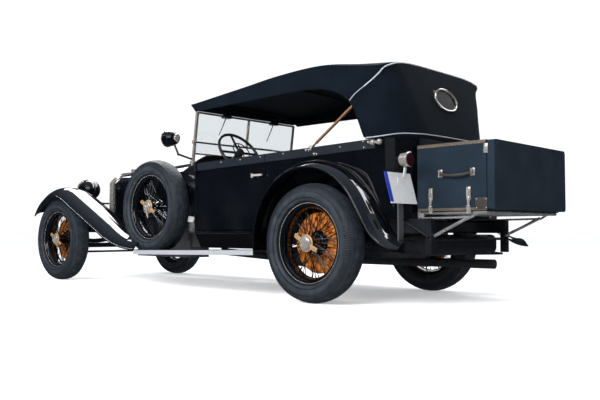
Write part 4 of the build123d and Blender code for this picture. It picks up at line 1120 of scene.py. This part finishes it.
def seats():
    for name, rear, front, half, top, axis, pleats, crown_height in (
            ("front_seat_cushion", 0.735, 1.128, 0.595, 0.820, "z", 12, 0.022),
            ("front_seat_back", 0.622, 0.728, 0.598, 1.083, "x", 14, 0.012),
            ("rear_seat_cushion", -0.465, 0.058, 0.555, 0.830, "z", 11, 0.022),
            ("rear_seat_back", -0.598, -0.482, 0.558, 1.126, "x", 12, 0.012)):
        node = name[:name.index("_seat")] + "_seat"
        pad(name, node, (st(rear), -half, SEAT_FLOOR), (st(front), half, top), axis, pleats, crown_height)


# Trim

LEFTWARD = (0, 1, 0)
STRIP_Y = 0.6878


def waist_z(x):
    """Height of the padded strip's top edge."""
    return 1.150 - 0.05 * (x + 0.72) / 2.19


def body_trim():
    studs = Shape()
    for x in (1.106, 0.867, 0.629):
        studs.dome(at(x, STRIP_Y, waist_z(x) - 0.020), LEFTWARD, 0.0075, 0.006)
    studs.piece("strip_studs_door_left", "bright_nickel", body="door_left")
    studs.other_side().piece("strip_studs_door_right", "bright_nickel", body="door_right")
    fixed = Shape()
    for x, drop in ((0.372, 0.020), (-0.200, 0.028), (-0.408, 0.010), (-0.413, 0.052)):
        fixed.dome(at(x, STRIP_Y, waist_z(x) - drop), LEFTWARD, 0.0075, 0.006)
    for x, z, r in ((-0.47, 1.121, 0.010), (0.111, 1.112, 0.011), (0.031, 1.076, 0.011)):
        fixed.lathe([(r, 0), (r, 0.003), (r * 0.5, 0.006), (r * 0.5, 0.014), (r * 0.95, 0.018),
                    (r * 0.95, 0.026), (r * 0.6, 0.030), (0.00001, 0.031)], 16,
                    place=Matrix.Translation(at(x, 0.6875, z)))
    for x in (-0.500, -0.556):
        fixed.lathe([(0.00001, 0), (0.017, 0), (0.019, 0.004), (0.019, 0.020), (0.014, 0.026),
                    (0.00001, 0.028)], 20, place=Matrix.Translation(at(x, 0.688, 1.118)))
    fixed.block(at(-0.528, 0.696, 1.118), (0.090, 0.012, 0.018), 0.004)
    fixed.mirrored().piece("strip_studs_body", "bright_nickel")


TRUNK_SIDE = 0.5155


def on_trunk(x, out, z):
    """A point out from the trunk's left side."""
    return at(x, TRUNK_SIDE + out, z)


def trunk_trim():
    metal = Shape()
    for x in (-0.841, -1.125):
        for out, z, size, bevel in ((0.003, 0.755, (0.030, 0.006, 0.085), 0.002),
                                    (0.006, 0.700, (0.018, 0.008, 0.075), 0.003),
                                    (0.003, 0.650, (0.028, 0.006, 0.040), 0.002),
                                    (0.010, 0.672, (0.024, 0.008, 0.016), 0.003)):
            metal.block(on_trunk(x, out, z), size, bevel)
        for z in (0.785, 0.728):
            for shift in (-0.009, 0.009):
                metal.dome((st(x) + shift, TRUNK_SIDE + 0.006, z), LEFTWARD, 0.0028, 0.002, sides=8)
    lock = Shape()
    lock.block(on_trunk(-1.213, 0.0015, 0.690), (0.085, 0.003, 0.075), 0.001)
    lock.mirrored().piece("trunk_lock_plates", "trunk_cloth", [HANDLE])
    for dx in (-0.033, 0.033):
        for dz in (-0.028, 0.028):
            metal.dome((st(-1.213) + dx, TRUNK_SIDE + 0.003, 0.690 + dz), LEFTWARD, 0.005, 0.003, sides=8)
    for x in (-0.918, -1.156):
        metal.block(on_trunk(x, 0.004, 0.892), (0.034, 0.008, 0.050), 0.003)
        loop = [at(x, TRUNK_SIDE + 0.010 + 0.012 * sin(a), 0.892 + 0.020 * cos(a))
                for a in [pi * k / 8 for k in range(9)]]
        metal.tube(loop, 0.004, 6)
    metal.block(on_trunk(-1.249, 0.003, 1.035), (0.030, 0.006, 0.060), 0.002)
    metal.mirrored().piece("trunk_latches", "bright_nickel")
    grip = Shape()
    path = []
    for k in range(25):
        t = k / 24
        path.append(Vector((st(-0.918) + (-0.238) * t, TRUNK_SIDE + 0.010 + 0.020 * sin(pi * t) ** 0.6,
                            0.886 - 0.012 * sin(pi * t))))
    grip.tube(path, 0.0105, 10)
    grip.mirrored().piece("trunk_handles", "trunk_cloth", [HANDLE])
    edge = Shape()
    top = 1.0785
    edge.block(on_trunk(-0.9925, 0.001, top), (0.508, 0.004, 0.022), 0.0012)
    for k in range(18):
        edge.dome(on_trunk(-0.752 - 0.0282 * k, 0.003, top - 0.004), LEFTWARD, 0.0035, 0.002, 1, 8)
    edge.block(on_trunk(-0.9925, 0.001, 0.656), (0.508, 0.004, 0.018), 0.0012)
    edge.mirrored()
    edge.piece("trunk_edging", "trunk_cloth", [EDGING, M["bright_nickel"]])


def stage():
    mesh = bpy.data.meshes.new("floor")
    half = 60
    corners = [(half * x, half * y, 0) for x, y in ((-1, -1), (1, -1), (1, 1), (-1, 1))]
    mesh.from_pydata(corners, [], [(0, 1, 2, 3)])
    floor = new_object("floor", mesh)
    look = Look("floor_white", (0.93, 0.93, 0.935), 0.8, Emission_Color=(1, 1, 1, 1), Emission_Strength=0.38)
    mesh.materials.append(look.material)
    floor.visible_glossy = False


def studio():
    """White all round to the eye; to the car's paint a dark room with a bright ceiling."""
    world = bpy.data.worlds.new("studio")
    bpy.context.scene.world = world
    world.use_nodes = True
    net = Net(world.node_tree)
    background = net.tree.nodes["Background"]
    up = net.node("SeparateXYZ", inputs={0: net.node("TexCoord")}, output=2)
    room = net.node("ValToRGB", inputs={0: net.math("MULTIPLY_ADD", up, 0.5, 0.5)})
    ramp = room.socket.node.color_ramp
    ramp.elements[0].position, ramp.elements[0].color = 0.0, (0.05, 0.06, 0.075, 1)
    ramp.elements[1].position, ramp.elements[1].color = 1.0, (0.30, 0.34, 0.40, 1)
    for position, level in ((0.42, 0.035), (0.5, 0.02), (0.62, 0.022), (0.75, 0.06), (0.87, 0.16)):
        ramp.elements.new(position).color = (level * 0.85, level, level * 1.25, 1)
    diffuse, glossy, through = [net.node("LightPath", output=f"Is {kind} Ray")
                                for kind in ("Diffuse", "Glossy", "Transmission")]
    mirrored = net.node("Math", {"operation": "SUBTRACT", "use_clamp": True}, {0: glossy, 1: through})
    seen = net.mix(diffuse, (1.1, 1.11, 1.13), (0.72, 0.76, 0.82))
    net.feed(background.inputs["Color"], net.mix(mirrored, seen, room))
    net.feed(background.inputs["Strength"], 1.0)
    world.cycles.sampling_method = "NONE"


def softbox(name, place, aim, size, power, diffuse=True, glossy=True):
    data = bpy.data.lights.new(name, "AREA")
    data.shape = "RECTANGLE"
    data.size, data.size_y = size
    data.energy = power
    lamp = new_object(name, data)
    lamp.location = place
    lamp.visible_diffuse = diffuse
    lamp.visible_glossy = glossy
    lamp.rotation_euler = (Vector(aim) - Vector(place)).to_track_quat("-Z", "Y").to_euler()


def camera():
    data = bpy.data.cameras.new("camera")
    data.sensor_width = 36
    data.lens = LENS_MM
    data.clip_end = 200
    cam = new_object("camera", data)
    cam.location = CAMERA_PLACE
    cam.rotation_euler = Vector(CAMERA_AIM).to_track_quat("-Z", "Y").to_euler()
    bpy.context.scene.camera = cam


camera()
stage()
studio()
softbox("key", (-1.0, 6.5, 3.6), (0, 0, 0.9), (7, 3), 1150, glossy=False)
softbox("overhead", (0, -0.6, 4.2), (0, -0.2, 0.6), (10, 1.1), 230)
softbox("far_side", (1.5, -2.9, 4.2), (0.5, 0, 0.6), (12, 2.2), 330, diffuse=False)
softbox("left_glow", (-1.5, 6.5, 3.6), (0, 0, 0.9), (7, 2.2), 95, diffuse=False)
softbox("near_edge", (0, 4.4, 4.6), (0, 0, 0.6), (8, 0.25), 22, diffuse=False)
softbox("behind_camera", (-5.5, 6.5, 2.6), (-0.5, 0, 0.8), (3.5, 2.2), 4, diffuse=False)
all_wheels()
cloth_top, cloth_area = fabric_top()
top_trim(cloth_top)
hood_sticks()
windscreen_trim()
seats()
body_trim()
trunk_trim()
bpy.context.scene.view_settings.view_transform = "Standard"
